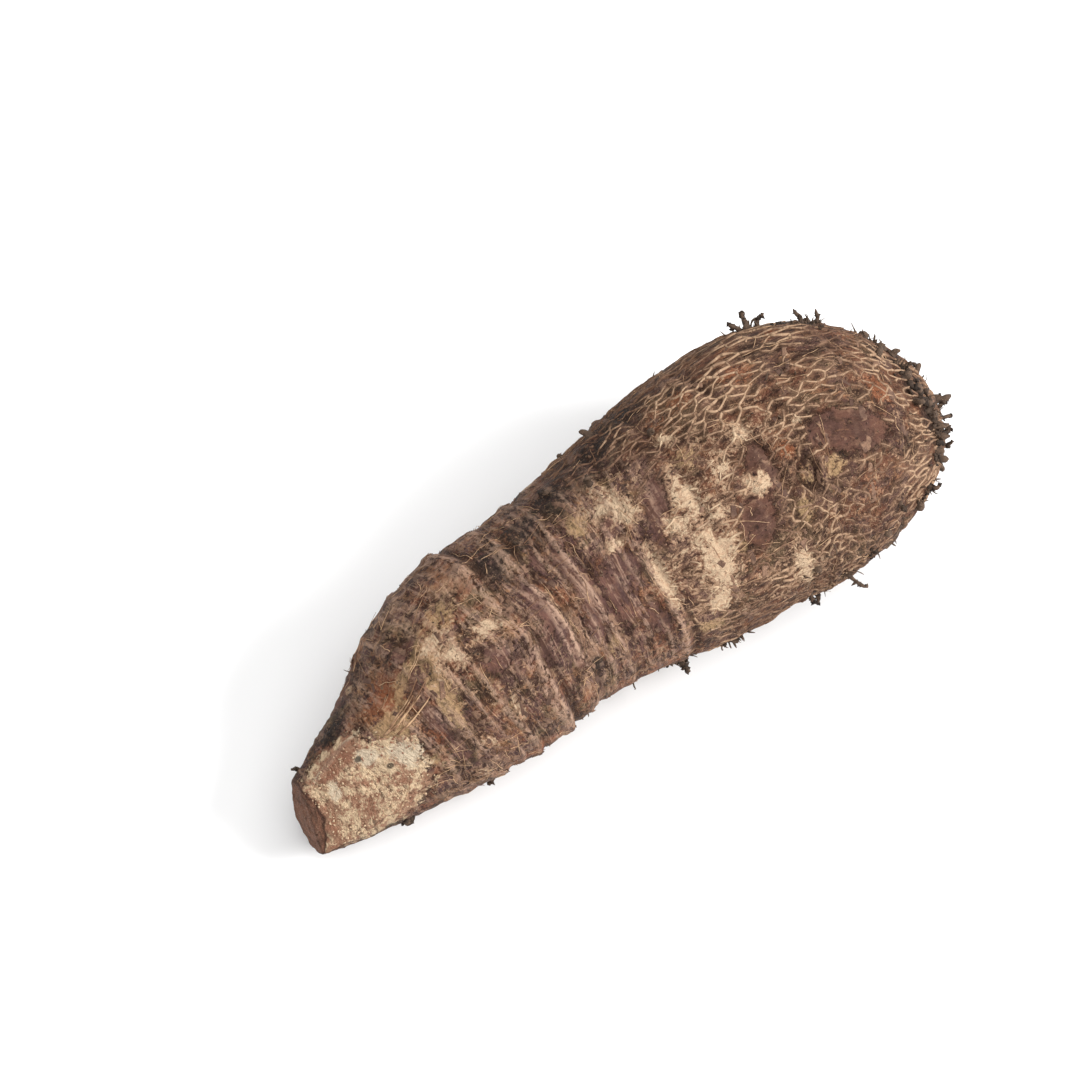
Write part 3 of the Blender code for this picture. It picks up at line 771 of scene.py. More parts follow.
def skin_material():
    """Dead bark: its ground, light and dark grain, streaks and net, then the marks, rings and breaks."""
    material, tree, surface = new_material("dug_skin", 0.8, 0.08)
    straight = attribute(tree, "straight", "Vector")
    crown, groove = attribute(tree, "crown"), attribute(tree, "groove")
    not_crown = maths(tree, "SUBTRACT", 1.0, crown)
    off_crown = maths(tree, "MULTIPLY_ADD", crown, -0.9, 1.0)
    bark = add_node(tree, "Group", node_tree=grain_tree)
    tree.links.new(straight, bark.inputs["Vector"])
    tree.links.new(crown, bark.inputs["Crown"])
    grain, torn = bark.outputs["Grain"], bark.outputs["Torn"]

    colour, bare_colour = ground_colours(tree, straight)
    bare_colour = paint(tree, bare_colour, PLUM, not_crown, 0.45)
    felt = maths(tree, "MULTIPLY_ADD", torn, 0.5, attribute(tree, "bare"))
    bare = step_up(tree, felt, 0.3, 0.62)
    colour = blend(tree, bare, colour, bare_colour)
    coarse = maths(tree, "MULTIPLY_ADD", bare, -0.65, 1.0)

    shade = patches(tree, straight, *SHADE_PATCHES)
    colour = paint(tree, colour, DARK_PURPLE, shade, maths(tree, "MULTIPLY_ADD", bare, -0.5, 0.8))
    plum_place = stretched(tree, straight, (1, 0.55, 0.55), (0, 0, 60))
    colour = paint(tree, colour, PLUM, patches(tree, plum_place, *PLUM_PATCHES), not_crown, 0.6)
    tan_place = stretched(tree, straight, (1, 1, 1), (0, 50, 0))
    tan_tint = blend(tree, patches(tree, tan_place, *ORANGE_PATCHES), TAN, ORANGE_TAN)
    light = patches(tree, straight, *LIGHT_PATCHES)
    colour = paint(tree, colour, tan_tint, light, coarse, 0.3, not_crown)
    colour = blend(tree, maths(tree, "MULTIPLY_ADD", crown, 0.42, 0.06), colour, DARK_PURPLE)
    valley = times(tree, step_up(tree, grain, 0.50, 0.38), 0.85)
    colour = paint(tree, colour, DARK_PURPLE, valley, coarse)
    peak = times(tree, step_up(tree, grain, 0.54, 0.63), coarse)
    peak = times(tree, peak, maths(tree, "MULTIPLY_ADD", crown, -0.15, 0.75))
    colour = paint(tree, colour, tan_tint, peak, patches(tree, straight, *PEAK_PATCHES))

    streaks = noise(tree, stretched(tree, straight, (1, 0.08, 0.08)), 0.24, 3.0, 0.6, 0.4)
    streaks = maths(tree, "ABSOLUTE", maths(tree, "SUBTRACT", streaks, 0.5))
    streaks = times(tree, step_up(tree, streaks, 0.035, 0.008), not_crown)
    colour = paint(tree, colour, PINK_TAN, streaks, step_up(tree, grain, 0.44, 0.54), 0.4)
    colour = paint(tree, colour, HALO_BROWN, attribute(tree, "net_halo"), 0.7)
    lines = times(tree, bark.outputs["Lines"], maths(tree, "MULTIPLY_ADD", crown, -0.1, 0.25), coarse)
    colour = blend(tree, lines, colour, tan_tint)

    def marked(colour, kind, tint, low, high, strength):
        """Paints a mark where its field, the torn noise and some grain together pass a step."""
        felt = maths(tree, "ADD", attribute(tree, kind), torn)
        felt = maths(tree, "MULTIPLY_ADD", grain, 0.6, felt)
        felt = maths(tree, "MULTIPLY_ADD", bare, -0.35, felt)
        mask = times(tree, step_up(tree, felt, low + 0.3, high + 0.3), strength)
        return blend(tree, mask, colour, tint), mask

    colour, _ = marked(colour, "rust", RUST, *RUST_STEP)
    ochre_tint, _ = mottled(tree, straight, OCHRE, OLIVE_BROWN, TAN, 1.2, 0.5)
    colour, _ = marked(colour, "ochre", ochre_tint, *OCHRE_STEP)
    colour, _ = marked(colour, "scurf", TAN, *SCURF_EDGE_STEP)
    scurf_tint, _ = mottled(tree, straight, SCURF, TAN, SCURF_PALE, 1.2, 0.5)
    scurf_tint = paint(tree, scurf_tint, RED_BROWN, valley, 0.35)
    colour, scurf_mask = marked(colour, "scurf", scurf_tint, *SCURF_STEP)
    # Soot marks: nearly black dirt in small spots, and painted shadow in the long marks along the upper side
    colour, _ = marked(colour, "soot_and_shadow", SOOT, *SOOT_AND_SHADOW_STEP)

    # Painted shade: darker where the ring scar grooves and the eye moats sink in
    colour = paint(tree, colour, DARK_PURPLE, step_up(tree, groove, -0.12, -0.8), 0.7)
    lip = times(tree, step_up(tree, groove, 0.12, 0.42), step_up(tree, grain, 0.44, 0.53))
    colour = paint(tree, colour, PINK_TAN, lip, off_crown, 0.3)
    ring = times(tree, attribute(tree, "ring_line"), step_up(tree, grain, 0.40, 0.52))
    colour = paint(tree, colour, PINK_TAN, ring, off_crown, 0.9)
    colour = paint(tree, colour, tan_tint, bark.outputs["Flakes"], coarse, 0.4)
    colour = paint(tree, colour, SOOT, bark.outputs["Holes"], 0.6)

    flesh, crumb = flesh_colours(tree, straight, grain, torn)
    opened = maths(tree, "MAXIMUM", attribute(tree, "slant_break"), attribute(tree, "torn"))
    open_mask = step_up(tree, maths(tree, "MULTIPLY_ADD", torn, 0.4, opened), 0.45, 0.6)
    colour = blend(tree, open_mask, colour, flesh)
    colour = blend(tree, attribute(tree, "end_break"), colour, end_colour(tree, straight, torn))
    tree.links.new(colour, surface.inputs["Base Color"])

    height = times(tree, grain, maths(tree, "MULTIPLY_ADD", bare, -0.6, 1.0))
    height = maths(tree, "MULTIPLY_ADD", scurf_mask, 0.08, height)
    height = maths(tree, "MULTIPLY_ADD", lines, 0.08, height)
    height = maths(tree, "MULTIPLY_ADD", times(tree, crumb, open_mask), 0.25, height)
    height = maths(tree, "MULTIPLY_ADD", bark.outputs["Holes"], -0.12, height)
    raise_bumps(tree, surface, height, 1.0, 0.0022)
    tree.links.new(maths(tree, "MULTIPLY_ADD", grain, 0.5, 0.42), surface.inputs["Roughness"])
    return material


skin = skin_mesh()
skin.data.materials.append(skin_material())
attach(skin, "root")
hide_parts("tuber")

# The cork net: pale raised lines of cork, where the stretched skin of the crown tore and healed over.
# Its cells are drawn out along the tuber. Each line is a low closed ridge, sunk in the skin, that runs
# between two joints of a shaken honeycomb; lines are left out where the skin is bare.

NET_COLUMNS = 94
NET_STEP = 2.6
NET_START = 4.0
# How far joints are shaken, along in millimetres and round in columns, and how far columns lean together
NET_JITTER = (0.85, 0.24)
NET_PINCH = 0.24
# How far lines wander along and round, and over what length
NET_WANDER = ((0.9, 3.4), (1.3, 2.6))
NET_SEED = 71
NET_POINTS = 5
NET_SIDES = 3
NET_HALF_WIDTH = 0.46
NET_HEIGHT = 0.30
# The paler skin beside a line, and over how many of the skin's cells it reaches
HALO_WIDTH = 0.62
HALO_CELLS = 2
FAINTEST_HALO = 0.2
# Nothing grows farther along than this
LAST_PLACE = 97.0
# Cork where the lines shine and where they don't: colour, dark, pale, size of blotches, share of specks
CORK_PALE = ((0.36, 0.235, 0.15), (0.16, 0.088, 0.055), (0.52, 0.38, 0.26), 2.2, 0.6)
CORK_DIM = ((0.155, 0.088, 0.057), (0.08, 0.042, 0.029), (0.28, 0.17, 0.105), 2.2, 0.4)
# Where dry cork and bark drift to their darker colour, and where they fade to it in smaller patches
DRIFT_PATCHES = (0.12, 4.0, 0.6, 0.46, 0.6)
FADED_PATCHES = (0.45, 3.0, 0.6, 0.54, 0.64)
BUMP_HEIGHT = 0.0002


def ridge_tubes(paths, up, half_wide, half_tall, sides):
    """Closed tubes along paths: each cross-section is an ellipse, as wide and tall as given at each point.

    paths and up are arrays of tube, point, xyz; half_wide and half_tall are arrays of tube, point.
    A section's points are path + half_wide cos(t) across + half_tall sin(t) up, t going once round from
    its crest.
    """
    tangent = unit(np.gradient(paths, axis=1))
    across = unit(np.cross(tangent, up))
    top = np.cross(across, tangent)
    t = np.pi / 2 + np.arange(sides) * 2 * np.pi / sides
    ring = (
        paths[:, :, None]
        + (half_wide[..., None] * np.cos(t))[..., None] * across[:, :, None]
        + (half_tall[..., None] * np.sin(t))[..., None] * top[:, :, None]
    )
    count, length = paths.shape[:2]
    index = np.arange(count * length * sides).reshape(count, length, sides)
    following = np.roll(index, -1, 2)
    walls = [index[:, :-1], index[:, 1:], following[:, 1:], following[:, :-1]]
    quads = np.stack(walls, -1).reshape(-1, 4)
    caps = np.concatenate([index[:, 0], index[:, -1, ::-1]])
    return ring.reshape(-1, 3), quads, caps


def net_paths():
    """Joints of a shaken honeycomb on the skin, and the lines between neighbours, as places and angles.

    Columns of joints run along the tuber. At every other joint a column leans to its neighbour, so that
    the cells are long lenses.
    """
    places, run = run_table()
    start = np.interp(NET_START, places, run)
    steps = np.arange(start, run[-1] - 7, NET_STEP)
    draw = np.random.default_rng(NET_SEED)
    k, j = np.meshgrid(np.arange(len(steps)), np.arange(NET_COLUMNS), indexing="ij")
    along = steps[k] + NET_JITTER[0] * draw.uniform(-1, 1, k.shape)
    slant = NET_PINCH * np.where((k + j) % 2, -1, 1)
    around = (j + slant + NET_JITTER[1] * draw.uniform(-1, 1, k.shape)) * 360 / NET_COLUMNS

    next_along, next_around = np.roll(along, -1, 1), np.roll(around, -1, 1)
    next_around[:, -1] += 360
    crossing = (k + j) % 2 == 0
    starts = [along[:-1], along[crossing]], [around[:-1], around[crossing]]
    ends = [along[1:], next_along[crossing]], [around[1:], next_around[crossing]]
    from_run, from_turn = (np.concatenate([a.ravel() for a in part]) for part in starts)
    to_run, to_turn = (np.concatenate([a.ravel() for a in part]) for part in ends)
    share = np.linspace(0, 1, NET_POINTS)
    line_run = from_run[:, None] + (to_run - from_run)[:, None] * share
    line_turn = from_turn[:, None] + (to_turn - from_turn)[:, None] * share
    x = np.interp(line_run, run, places)
    straight = unbent(x, line_turn)
    (far_along, cell_along), (far_round, cell_round) = NET_WANDER
    x = np.minimum(x + far_along * soft_noise(straight, cell_along, seed=72), LAST_PLACE)
    line_turn = line_turn + far_round * soft_noise(straight, cell_round, seed=73)
    return x, line_turn, draw


def net_halo(x, angle, strength):
    """At each point of the skin's grid, the most of strength * exp(-(d / width)^2), d from the lines."""
    places, run = run_table()
    row = np.interp(x, places, run).ravel() / run[-1] * (SKIN_ROWS - 1)
    column = angle.ravel() / 360 * SKIN_COLUMNS
    row_step = run[-1] / (SKIN_ROWS - 1)
    column_step = 2 * np.pi * half_width(x.ravel()) / SKIN_COLUMNS
    field = np.zeros((SKIN_ROWS, SKIN_COLUMNS))
    for down, over in np.ndindex(2 * HALO_CELLS + 1, 2 * HALO_CELLS + 1):
        near_row = np.clip(np.round(row).astype(int) + down - HALO_CELLS, 0, SKIN_ROWS - 1)
        near_column = np.round(column).astype(int) + over - HALO_CELLS
        far = ((near_row - row) * row_step) ** 2 + ((near_column - column) * column_step) ** 2
        felt = strength.ravel() * np.exp(-far / HALO_WIDTH**2)
        np.maximum.at(field, (near_row, near_column % SKIN_COLUMNS), felt)
    return field


def kept_lines(x, angle, draw):
    """Which lines stay: by chance, most on the crown, fewer in ragged patches, none on bare skin."""
    x, angle = x[:, NET_POINTS // 2], angle[:, NET_POINTS // 2]
    straight = unbent(x, angle)
    density = crown_share(x, straight)
    density = density * (1 - ramp(mark_field("bare", x, angle), 0.3, 0.7))
    density = density * (1 - 0.9 * ramp(mark_field("scurf", x, angle), 0.4, 0.8))
    patchy = 0.66 + 0.6 * soft_noise(straight, 12.0, seed=74) + 0.6 * soft_noise(straight, 5.0, seed=77)
    return draw.random(len(x)) < np.clip(density * patchy, 0, 0.95)


def cork_net_mesh():
    """Ridges along the lines that stay, wider and taller by chance, by noise and where they shine."""
    x, angle, draw = net_paths()
    keep = kept_lines(x, angle, draw)
    x, angle = x[keep], angle[keep]
    path = on_skin(x, angle)
    up = skin_axes(x, angle)[3]
    straight = unbent(x, angle)
    shine = 0.25 + 0.9 * mark_field("net", x, angle) + 0.6 * soft_noise(straight, 9.0, seed=76)
    shine = np.clip(shine, 0, 1)
    thick = 0.75 + 0.5 * draw.random(len(x))[:, None] + 0.45 * soft_noise(straight, 1.6, seed=75)
    thick = thick * (0.75 + 0.35 * shine)
    points, quads, caps = ridge_tubes(path, up, NET_HALF_WIDTH * thick, NET_HEIGHT * thick, NET_SIDES)
    points[:, 2] = np.maximum(points[:, 2], 0)
    piece = new_piece("cork_net", points, quads, caps)
    set_values(piece, "straight", np.repeat(straight.reshape(-1, 3), NET_SIDES, 0))
    set_values(piece, "shine", np.repeat(shine.ravel(), NET_SIDES))
    set_values(piece, "scurf", np.repeat(mark_field("scurf", x, angle).ravel(), NET_SIDES))
    halo = net_halo(x, angle, FAINTEST_HALO + (1 - FAINTEST_HALO) * shine)
    set_values(skin, "net_halo", kept(halo))
    return piece


def cork_material(name, colour, dark, pale, size=1.2):
    """Dull mottled bark of one colour, that drifts and fades to a darker one in patches."""
    material, tree, surface = new_material(name, 0.85, 0.2)
    straight = attribute(tree, "straight", "Vector")
    tint, height = mottled(tree, straight, colour, dark, pale, size, 0.7)
    tint = blend(tree, patches(tree, straight, *DRIFT_PATCHES), tint, dark)
    tint = paint(tree, tint, dark, patches(tree, straight, *FADED_PATCHES), 0.6)
    tree.links.new(tint, surface.inputs["Base Color"])
    raise_bumps(tree, surface, height, 0.8, BUMP_HEIGHT)
    return material


def net_material():
    """Cork that is pale where shine is high, dim brown where it is low, and scurf's own colour on scurf."""
    material, tree, surface = new_material("cork", 0.85, 0.1)
    straight = attribute(tree, "straight", "Vector")
    pale, height = mottled(tree, straight, *CORK_PALE)
    dim, _ = mottled(tree, straight, *CORK_DIM)
    shine = maths(tree, "MULTIPLY_ADD", noise(tree, straight, 0.3, 3.0, 0.6), 1.8, attribute(tree, "shine"))
    tint = blend(tree, step_up(tree, shine, 1.0, 1.8), dim, pale)
    tint = blend(tree, step_up(tree, attribute(tree, "scurf"), 0.25, 0.6), tint, SCURF)
    tree.links.new(tint, surface.inputs["Base Color"])
    raise_bumps(tree, surface, height, 0.8, BUMP_HEIGHT)
    return material


cork_net = cork_net_mesh()
cork_net.data.materials.append(net_material())
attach(cork_net, "root")

# Rootlets: short wiry roots and the stubs that they leave when they snap, rooted in the bark. The long
# ones stand where the photograph shows them on the outline, the rest follow a rule, thickest on the
# crown. Each is a tapering, bent, knobby tube whose foot is sunk in the skin.

# Place, angle, length, radius, lean along and lean round
NAMED_ROOTLETS = (
    (59.0, 57.0, 4.6, 0.75, -0.3, 0.7),
    (57.5, 56.0, 3.0, 0.80, -1.0, 0.3),
    (60.5, 56.0, 3.6, 0.70, 0.9, 0.2),
    (58.5, 54.0, 2.0, 1.20, 0.2, 0.3),
    (67.5, 43.0, 3.6, 0.70, -0.7, 0.5),
    (69.5, 41.0, 3.4, 0.70, 0.8, 0.3),
    (68.5, 43.0, 1.8, 1.10, 0.0, 0.4),
    (81.0, 43.0, 1.3, 1.90, 0.2, 0.2),
    (84.0, 34.0, 1.2, 1.70, 0.3, 0.1),
    (87.3, 18.0, 3.4, 0.50, 0.8, 0.5),
    (87.0, 9.0, 1.5, 1.50, 0.2, 0.1),
    (89.0, 0.0, 1.7, 1.60, 0.2, 0.0),
    (90.6, -10.0, 1.6, 1.30, 0.3, 0.0),
    (91.2, -19.0, 2.2, 1.20, 0.2, 0.1),
    (92.0, -29.0, 2.8, 1.10, 0.3, 0.2),
    (92.6, -39.0, 2.6, 1.20, 0.1, -0.2),
    (91.5, -51.0, 1.8, 1.40, 0.3, -0.2),
    (86.0, -84.0, 1.8, 1.80, 0.6, 0.1),
    (89.0, -79.0, 3.2, 0.70, 0.9, 0.3),
    (60.5, -99.0, 5.5, 0.55, 1.1, -0.5),
    (22.5, -112.0, 1.2, 2.00, -0.4, 0.2),
    (8.0, -112.0, 3.2, 0.80, 1.0, 0.1),
    (-72.0, -106.0, 1.3, 1.70, -0.2, 0.1),
    (-85.0, 66.0, 1.8, 0.60, -0.5, 0.3),
)
ROOTLET_SEED = 11
ROOTLETS = 38
# From how far off the crown's end, over what length, and the power that crowds them towards the end
ROOTLET_REACH = (1.5, 150.0, 2.6)
ROOTLET_LENGTHS = (1.2, 3.2)
ROOTLET_RADII = (0.6, 1.2)
ROOTLET_LEAN = 0.8
ROOTLET_SINK = 1.6
# How strongly a rootlet is bent by noise, and that noise's seed
ROOTLET_KINK = 0.9
ROOTLET_NOISE = 81
TABLE_CLEARANCE = 1.2
ROOTLET_POINTS = 12
ROOTLET_SIDES = 8
ROOT_BROWN = (0.052, 0.033, 0.023)
WISPS = 150
WISP_SEED = 12
WISP_REACH = (1.0, 165.0, 1.7)
WISP_LENGTHS = (0.6, 2.2)
WISP_RADII = (0.12, 0.32)
WISP_LEAN = 1.4
WISP_KINK = 1.1
WISP_NOISE = 85
# Clumps of curly hairs: place, angle and spread
CLUMPS = (
    (59.0, 56.5, 1.5),
    (68.6, 42.5, 1.4),
    (81.5, 42.0, 1.8),
    (87.3, 17.0, 1.2),
    (91.0, -17.0, 1.8),
    (92.3, -36.0, 1.8),
    (88.0, -82.0, 1.6),
    (60.5, -99.0, 1.0),
    (8.0, -112.0, 1.3),
    (22.5, -112.0, 1.5),
)
CLUMP_HAIRS = 16


def rootlet_roots():
    """Each rootlet as place, angle, length, radius, lean along and lean round the tuber."""
    draw = np.random.default_rng(ROOTLET_SEED)
    made = list(NAMED_ROOTLETS)
    off_end, over, crowding = ROOTLET_REACH
    for _ in range(ROOTLETS):
        place = CROWN_DOME[1] - off_end - over * draw.random() ** crowding
        angle = draw.uniform(-180, 180)
        length = draw.uniform(*ROOTLET_LENGTHS)
        radius = draw.uniform(*ROOTLET_RADII)
        made.append((place, angle, length, radius, *draw.uniform(-ROOTLET_LEAN, ROOTLET_LEAN, 2)))
    return np.array(made)


def wisp_roots():
    """Finer hairs and stubs between the rootlets and in clumps round them, in the same six numbers."""
    draw = np.random.default_rng(WISP_SEED)
    middle, turn, spread = np.repeat(np.array(CLUMPS), CLUMP_HAIRS, 0).T
    count = WISPS + len(middle)
    off_end, over, crowding = WISP_REACH
    place = CROWN_DOME[1] - off_end - over * draw.random(WISPS) ** crowding
    place = np.concatenate([place, middle + spread * draw.normal(0, 1, len(middle))])
    angle = draw.uniform(-180, 180, WISPS)
    angle = np.concatenate([angle, turn + 1.8 * spread * draw.normal(0, 1, len(middle))])
    length = draw.uniform(*WISP_LENGTHS, count)
    radius = draw.uniform(*WISP_RADII, count)
    lean = draw.uniform(-WISP_LEAN, WISP_LEAN, (2, count))
    return np.stack([np.minimum(place, LAST_PLACE), angle, length, radius, *lean], -1)


def rootlet_paths(roots, kink, seed):
    """Paths = foot + reach out of the skin + lean * reach^1.5, shaken by noise towards the end; and radii."""
    place, angle, length, radius, lean_along, lean_round = roots.T
    _, along, around, outward = skin_axes(place, angle)
    foot = on_skin(place, angle)
    share = np.linspace(0, 1, ROOTLET_POINTS)
    reach = -ROOTLET_SINK + (length[:, None] + ROOTLET_SINK) * share
    bend = (np.maximum(reach, 0) / length[:, None]) ** 1.5 * length[:, None] * 0.6
    lean = lean_along[:, None] * along + lean_round[:, None] * around
    path = foot[:, None] + reach[..., None] * outward[:, None] + bend[..., None] * lean[:, None]
    shaken = np.stack([soft_noise(path, 2.2, seed + axis) for axis in range(3)], -1)
    path = path + kink * bend[..., None] * shaken
    clear = (path[..., 2].min(1) > TABLE_CLEARANCE) & (broken_depth(place, angle) < -0.5)
    return path[clear], radius[clear, None]


def rootlet_piece(name, roots, kink, seed):
    """Bent tubes that taper by a third to a rounded end, with a knob near the foot and others by noise."""
    path, radius = rootlet_paths(roots, kink, seed)
    share = np.linspace(0, 1, ROOTLET_POINTS)
    knobs = 1 + 0.28 * soft_noise(path, 0.9, seed + 3) + 0.25 * np.exp(-(((share - 0.3) / 0.09) ** 2))
    width = radius * (1.1 - 0.35 * share) * np.sqrt(1 - (0.98 * share) ** 7) * knobs
    up = np.broadcast_to(unit(np.array([0.3, 0.5, 0.81])), path.shape)
    points, quads, caps = ridge_tubes(path, up, width, width, ROOTLET_SIDES)
    piece = new_piece(name, points, quads, caps)
    set_values(piece, "straight", points)
    set_values(piece, "tip", np.repeat(np.tile(share, len(path)), ROOTLET_SIDES))
    return piece


def rootlet_material():
    """Dark brown root bark, a little paler towards the end."""
    material, tree, surface = new_material("wiry_root", 0.8, 0.25)
    straight = attribute(tree, "straight", "Vector")
    tint, height = mottled(tree, straight, ROOT_BROWN, SOOT, TAN, 1.6, 0.35)
    tint = paint(tree, tint, TAN, attribute(tree, "tip"), 0.12)
    tree.links.new(tint, surface.inputs["Base Color"])
    raise_bumps(tree, surface, height, 0.9, BUMP_HEIGHT)
    return material


root_finish = rootlet_material()
rootlets = rootlet_piece("rootlets", rootlet_roots(), ROOTLET_KINK, ROOTLET_NOISE)
wisps = rootlet_piece("root_wisps", wisp_roots(), WISP_KINK, WISP_NOISE)
for piece in (rootlets, wisps):
    piece.data.materials.append(root_finish)
    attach(piece, "root")

# Fibres: hair-thin pale threads of old leaf scale that lie on the skin, many of them in the ring scars,
# and a fan of them that spreads from the broken tip up the neck. Each is a very thin closed tube that
# follows the skin and lifts off it at its free end.

FIBRES = 620
FIBRE_SEED = 91
FIBRE_POINTS = 10
FIBRE_SIDES = 4
FIBRE_RADIUS = 0.085
FIBRE_LENGTHS = (2.5, 9.0)
# How far a free end lifts: most of them, and the share that lifts more, with its range
FIBRE_LIFT = 0.12
LOOSE_FIBRES = 0.2
LOOSE_LIFT = (0.3, 1.0)
FIBRE_WANDER = 0.9
# The share that lies along a ring scar
AT_RINGS = 0.35
# The fan: place and angle of its foot, and the headings that it spreads over
FAN_FOOT = (-65.5, -11.0)
FAN_SPREAD = (-46, 14)
FAN_FIBRES = 40
FAN_RADIUS = 0.25
FAN_LENGTHS = (8, 15.5)
FAN_LIFT = 0.5
SKIN_ENDS = (-90, 96.5)
FIBRE_TAN = (0.53, 0.34, 0.20)
FIBRE_BROWN = (0.20, 0.105, 0.06)


def fibre_starts():
    """Start place and angle, heading from the tuber's length in degrees, length, and lift of the free end."""
    draw = np.random.default_rng(FIBRE_SEED)
    ring = np.array([place for place, _ in RING_SCARS])
    at_ring = draw.random(FIBRES) < AT_RINGS
    by_ring = draw.choice(ring, FIBRES) + draw.uniform(-3, 2, FIBRES)
    place = np.where(at_ring, by_ring, draw.uniform(-68, 92, FIBRES))
    angle = draw.uniform(-180, 180, FIBRES)
    heading = np.where(at_ring, 90 + draw.normal(0, 14, FIBRES), draw.normal(0, 40, FIBRES))
    length = draw.uniform(*FIBRE_LENGTHS, FIBRES)
    lift = np.where(draw.random(FIBRES) < LOOSE_FIBRES, draw.uniform(*LOOSE_LIFT, FIBRES), FIBRE_LIFT)
    fan = np.linspace(*FAN_SPREAD, FAN_FIBRES) + draw.normal(0, 2.0, FAN_FIBRES)
    fan_place = FAN_FOOT[0] + draw.uniform(-0.5, 3.5, FAN_FIBRES)
    fan_angle = FAN_FOOT[1] + draw.uniform(-4, 4, FAN_FIBRES) + fan * 0.2
    fan_length = draw.uniform(*FAN_LENGTHS, FAN_FIBRES)
    return (
        np.concatenate([place, fan_place]),
        np.concatenate([angle, fan_angle]),
        np.concatenate([heading, fan]),
        np.concatenate([length, fan_length]),
        np.concatenate([lift, np.full(FAN_FIBRES, FAN_LIFT)]),
    )


def fibre_mesh():
    """Tubes from each start along its heading, bent sideways by noise, lifted by lift * share^2."""
    place, angle, heading, length, lift = (values[:, None] for values in fibre_starts())
    share = np.linspace(0, 1, FIBRE_POINTS)
    turn = np.radians(heading)
    spots = np.stack(np.broadcast_arrays(place + 30 * share, angle, heading), -1)
    wander = FIBRE_WANDER * soft_noise(spots, 9.0, seed=92) * share
    reach = length * share
    x = np.clip(place + reach * np.cos(turn) - wander * np.sin(turn), *SKIN_ENDS)
    sideways = reach * np.sin(turn) + wander * np.cos(turn)
    angles = angle + np.degrees(sideways / np.maximum(half_width(x), 6))
    path = on_skin(x, angles, 0.05 + lift * share**2)
    clear = (path[..., 2].min(1) > 0.6) & (broken_depth(x, angles).max(1) < -0.3)
    in_fan = np.arange(len(place)) >= FIBRES
    path, up = path[clear], skin_axes(x[clear], angles[clear])[3]
    radius = np.where(in_fan, FAN_RADIUS, FIBRE_RADIUS)[clear, None]
    width = radius * (1.1 - 0.6 * share) * np.ones(path.shape[:2])
    points, quads, caps = ridge_tubes(path, up, width, width, FIBRE_SIDES)
    piece = new_piece("fibres", points, quads, caps)
    set_values(piece, "straight", points)
    return piece


fibres = fibre_mesh()
fibres.data.materials.append(cork_material("dry_fibre", FIBRE_TAN, FIBRE_BROWN, SCURF, 3.0))
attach(fibres, "root")

# Bark scales: thin dead scraps of skin that curl up at one edge, along the ring scars and over the
# crown. Each is a small closed plate: a grid of points on the skin, and the same grid a little lower.

SCALES = 480
SCALE_SEED = 101
SCALES_AT_RINGS = 0.5
SCALE_GRID = 5
SCALE_LENGTHS = (0.6, 1.9)
SCALE_WIDTHS = (0.6, 2.0)
SCALE_CURLS = (0.1, 0.6)
SCALE_THICKNESS = 0.13
SCALE_BROWN = (0.20, 0.115, 0.075)
SCALE_DARK = (0.09, 0.05, 0.036)


def scale_mesh():
    """Plates: place + u length, angle + v width, lifted by curl * u^2; the under face lies lower."""
    draw = np.random.default_rng(SCALE_SEED)
    ring = np.array([place for place, _ in RING_SCARS])
    at_ring = draw.random(SCALES) < SCALES_AT_RINGS
    by_ring = draw.choice(ring, SCALES) - draw.uniform(0, 3, SCALES)
    place = np.where(at_ring, by_ring, draw.uniform(-60, 94, SCALES))
    angle = draw.uniform(-180, 180, SCALES)
    length = draw.uniform(*SCALE_LENGTHS, SCALES)[:, None, None]
    width = draw.uniform(*SCALE_WIDTHS, SCALES)[:, None, None]
    curl = draw.uniform(*SCALE_CURLS, SCALES)[:, None, None]
    turn = draw.normal(0, 0.4, SCALES)[:, None, None]
    edge = np.linspace(-1, 1, SCALE_GRID)
    u, v = np.meshgrid((edge + 1) / 2, edge, indexing="ij")
    ragged = draw.uniform(0.6, 1.0, (SCALES, 1, SCALE_GRID))
    u = u[None] * ragged
    v = v[None] * np.sqrt(1.05 - 0.75 * u**2)
    along = length * u * np.cos(turn) - width * v * np.sin(turn)
    around = length * u * np.sin(turn) + width * v * np.cos(turn)
    x = np.clip(place[:, None, None] + along, *SKIN_ENDS)
    angles = angle[:, None, None] + np.degrees(around / np.maximum(half_width(x), 6))
    lift = 0.04 + curl * u**2
    top = on_skin(x, angles, lift)
    under = on_skin(x, angles, lift - SCALE_THICKNESS)
    clear = (top[..., 2].min((1, 2)) > 0.8) & (broken_depth(x, angles).max((1, 2)) < -0.3)
    clear &= mark_field("torn", place, angle) < 0.3
    top, under, x, angles = top[clear], under[clear], x[clear], angles[clear]
    count, n = len(top), SCALE_GRID
    points = np.concatenate([top.reshape(-1, 3), under.reshape(-1, 3)])
    above = np.arange(count * n * n).reshape(count, n, n)
    below = above + count * n * n
    faces = np.stack([above[:, :-1, :-1], above[:, 1:, :-1], above[:, 1:, 1:], above[:, :-1, 1:]], -1)
    backs = np.stack([below[:, :-1, :-1], below[:, :-1, 1:], below[:, 1:, 1:], below[:, 1:, :-1]], -1)

    def rim(grid):
        """The plate's outer points in order, once round."""
        sides = [grid[:, 0, :-1], grid[:, :-1, -1], grid[:, -1, :0:-1], grid[:, :0:-1, 0]]
        return np.concatenate(sides, 1)

    high, low = rim(above), rim(below)
    walls = np.stack([high, np.roll(high, -1, 1), np.roll(low, -1, 1), low], -1)
    quads = np.concatenate([group.reshape(-1, 4) for group in (faces, backs, walls)])
    piece = new_piece("bark_scales", points, quads)
    set_values(piece, "straight", np.tile(unbent(x, angles).reshape(-1, 3), (2, 1)))
    return piece


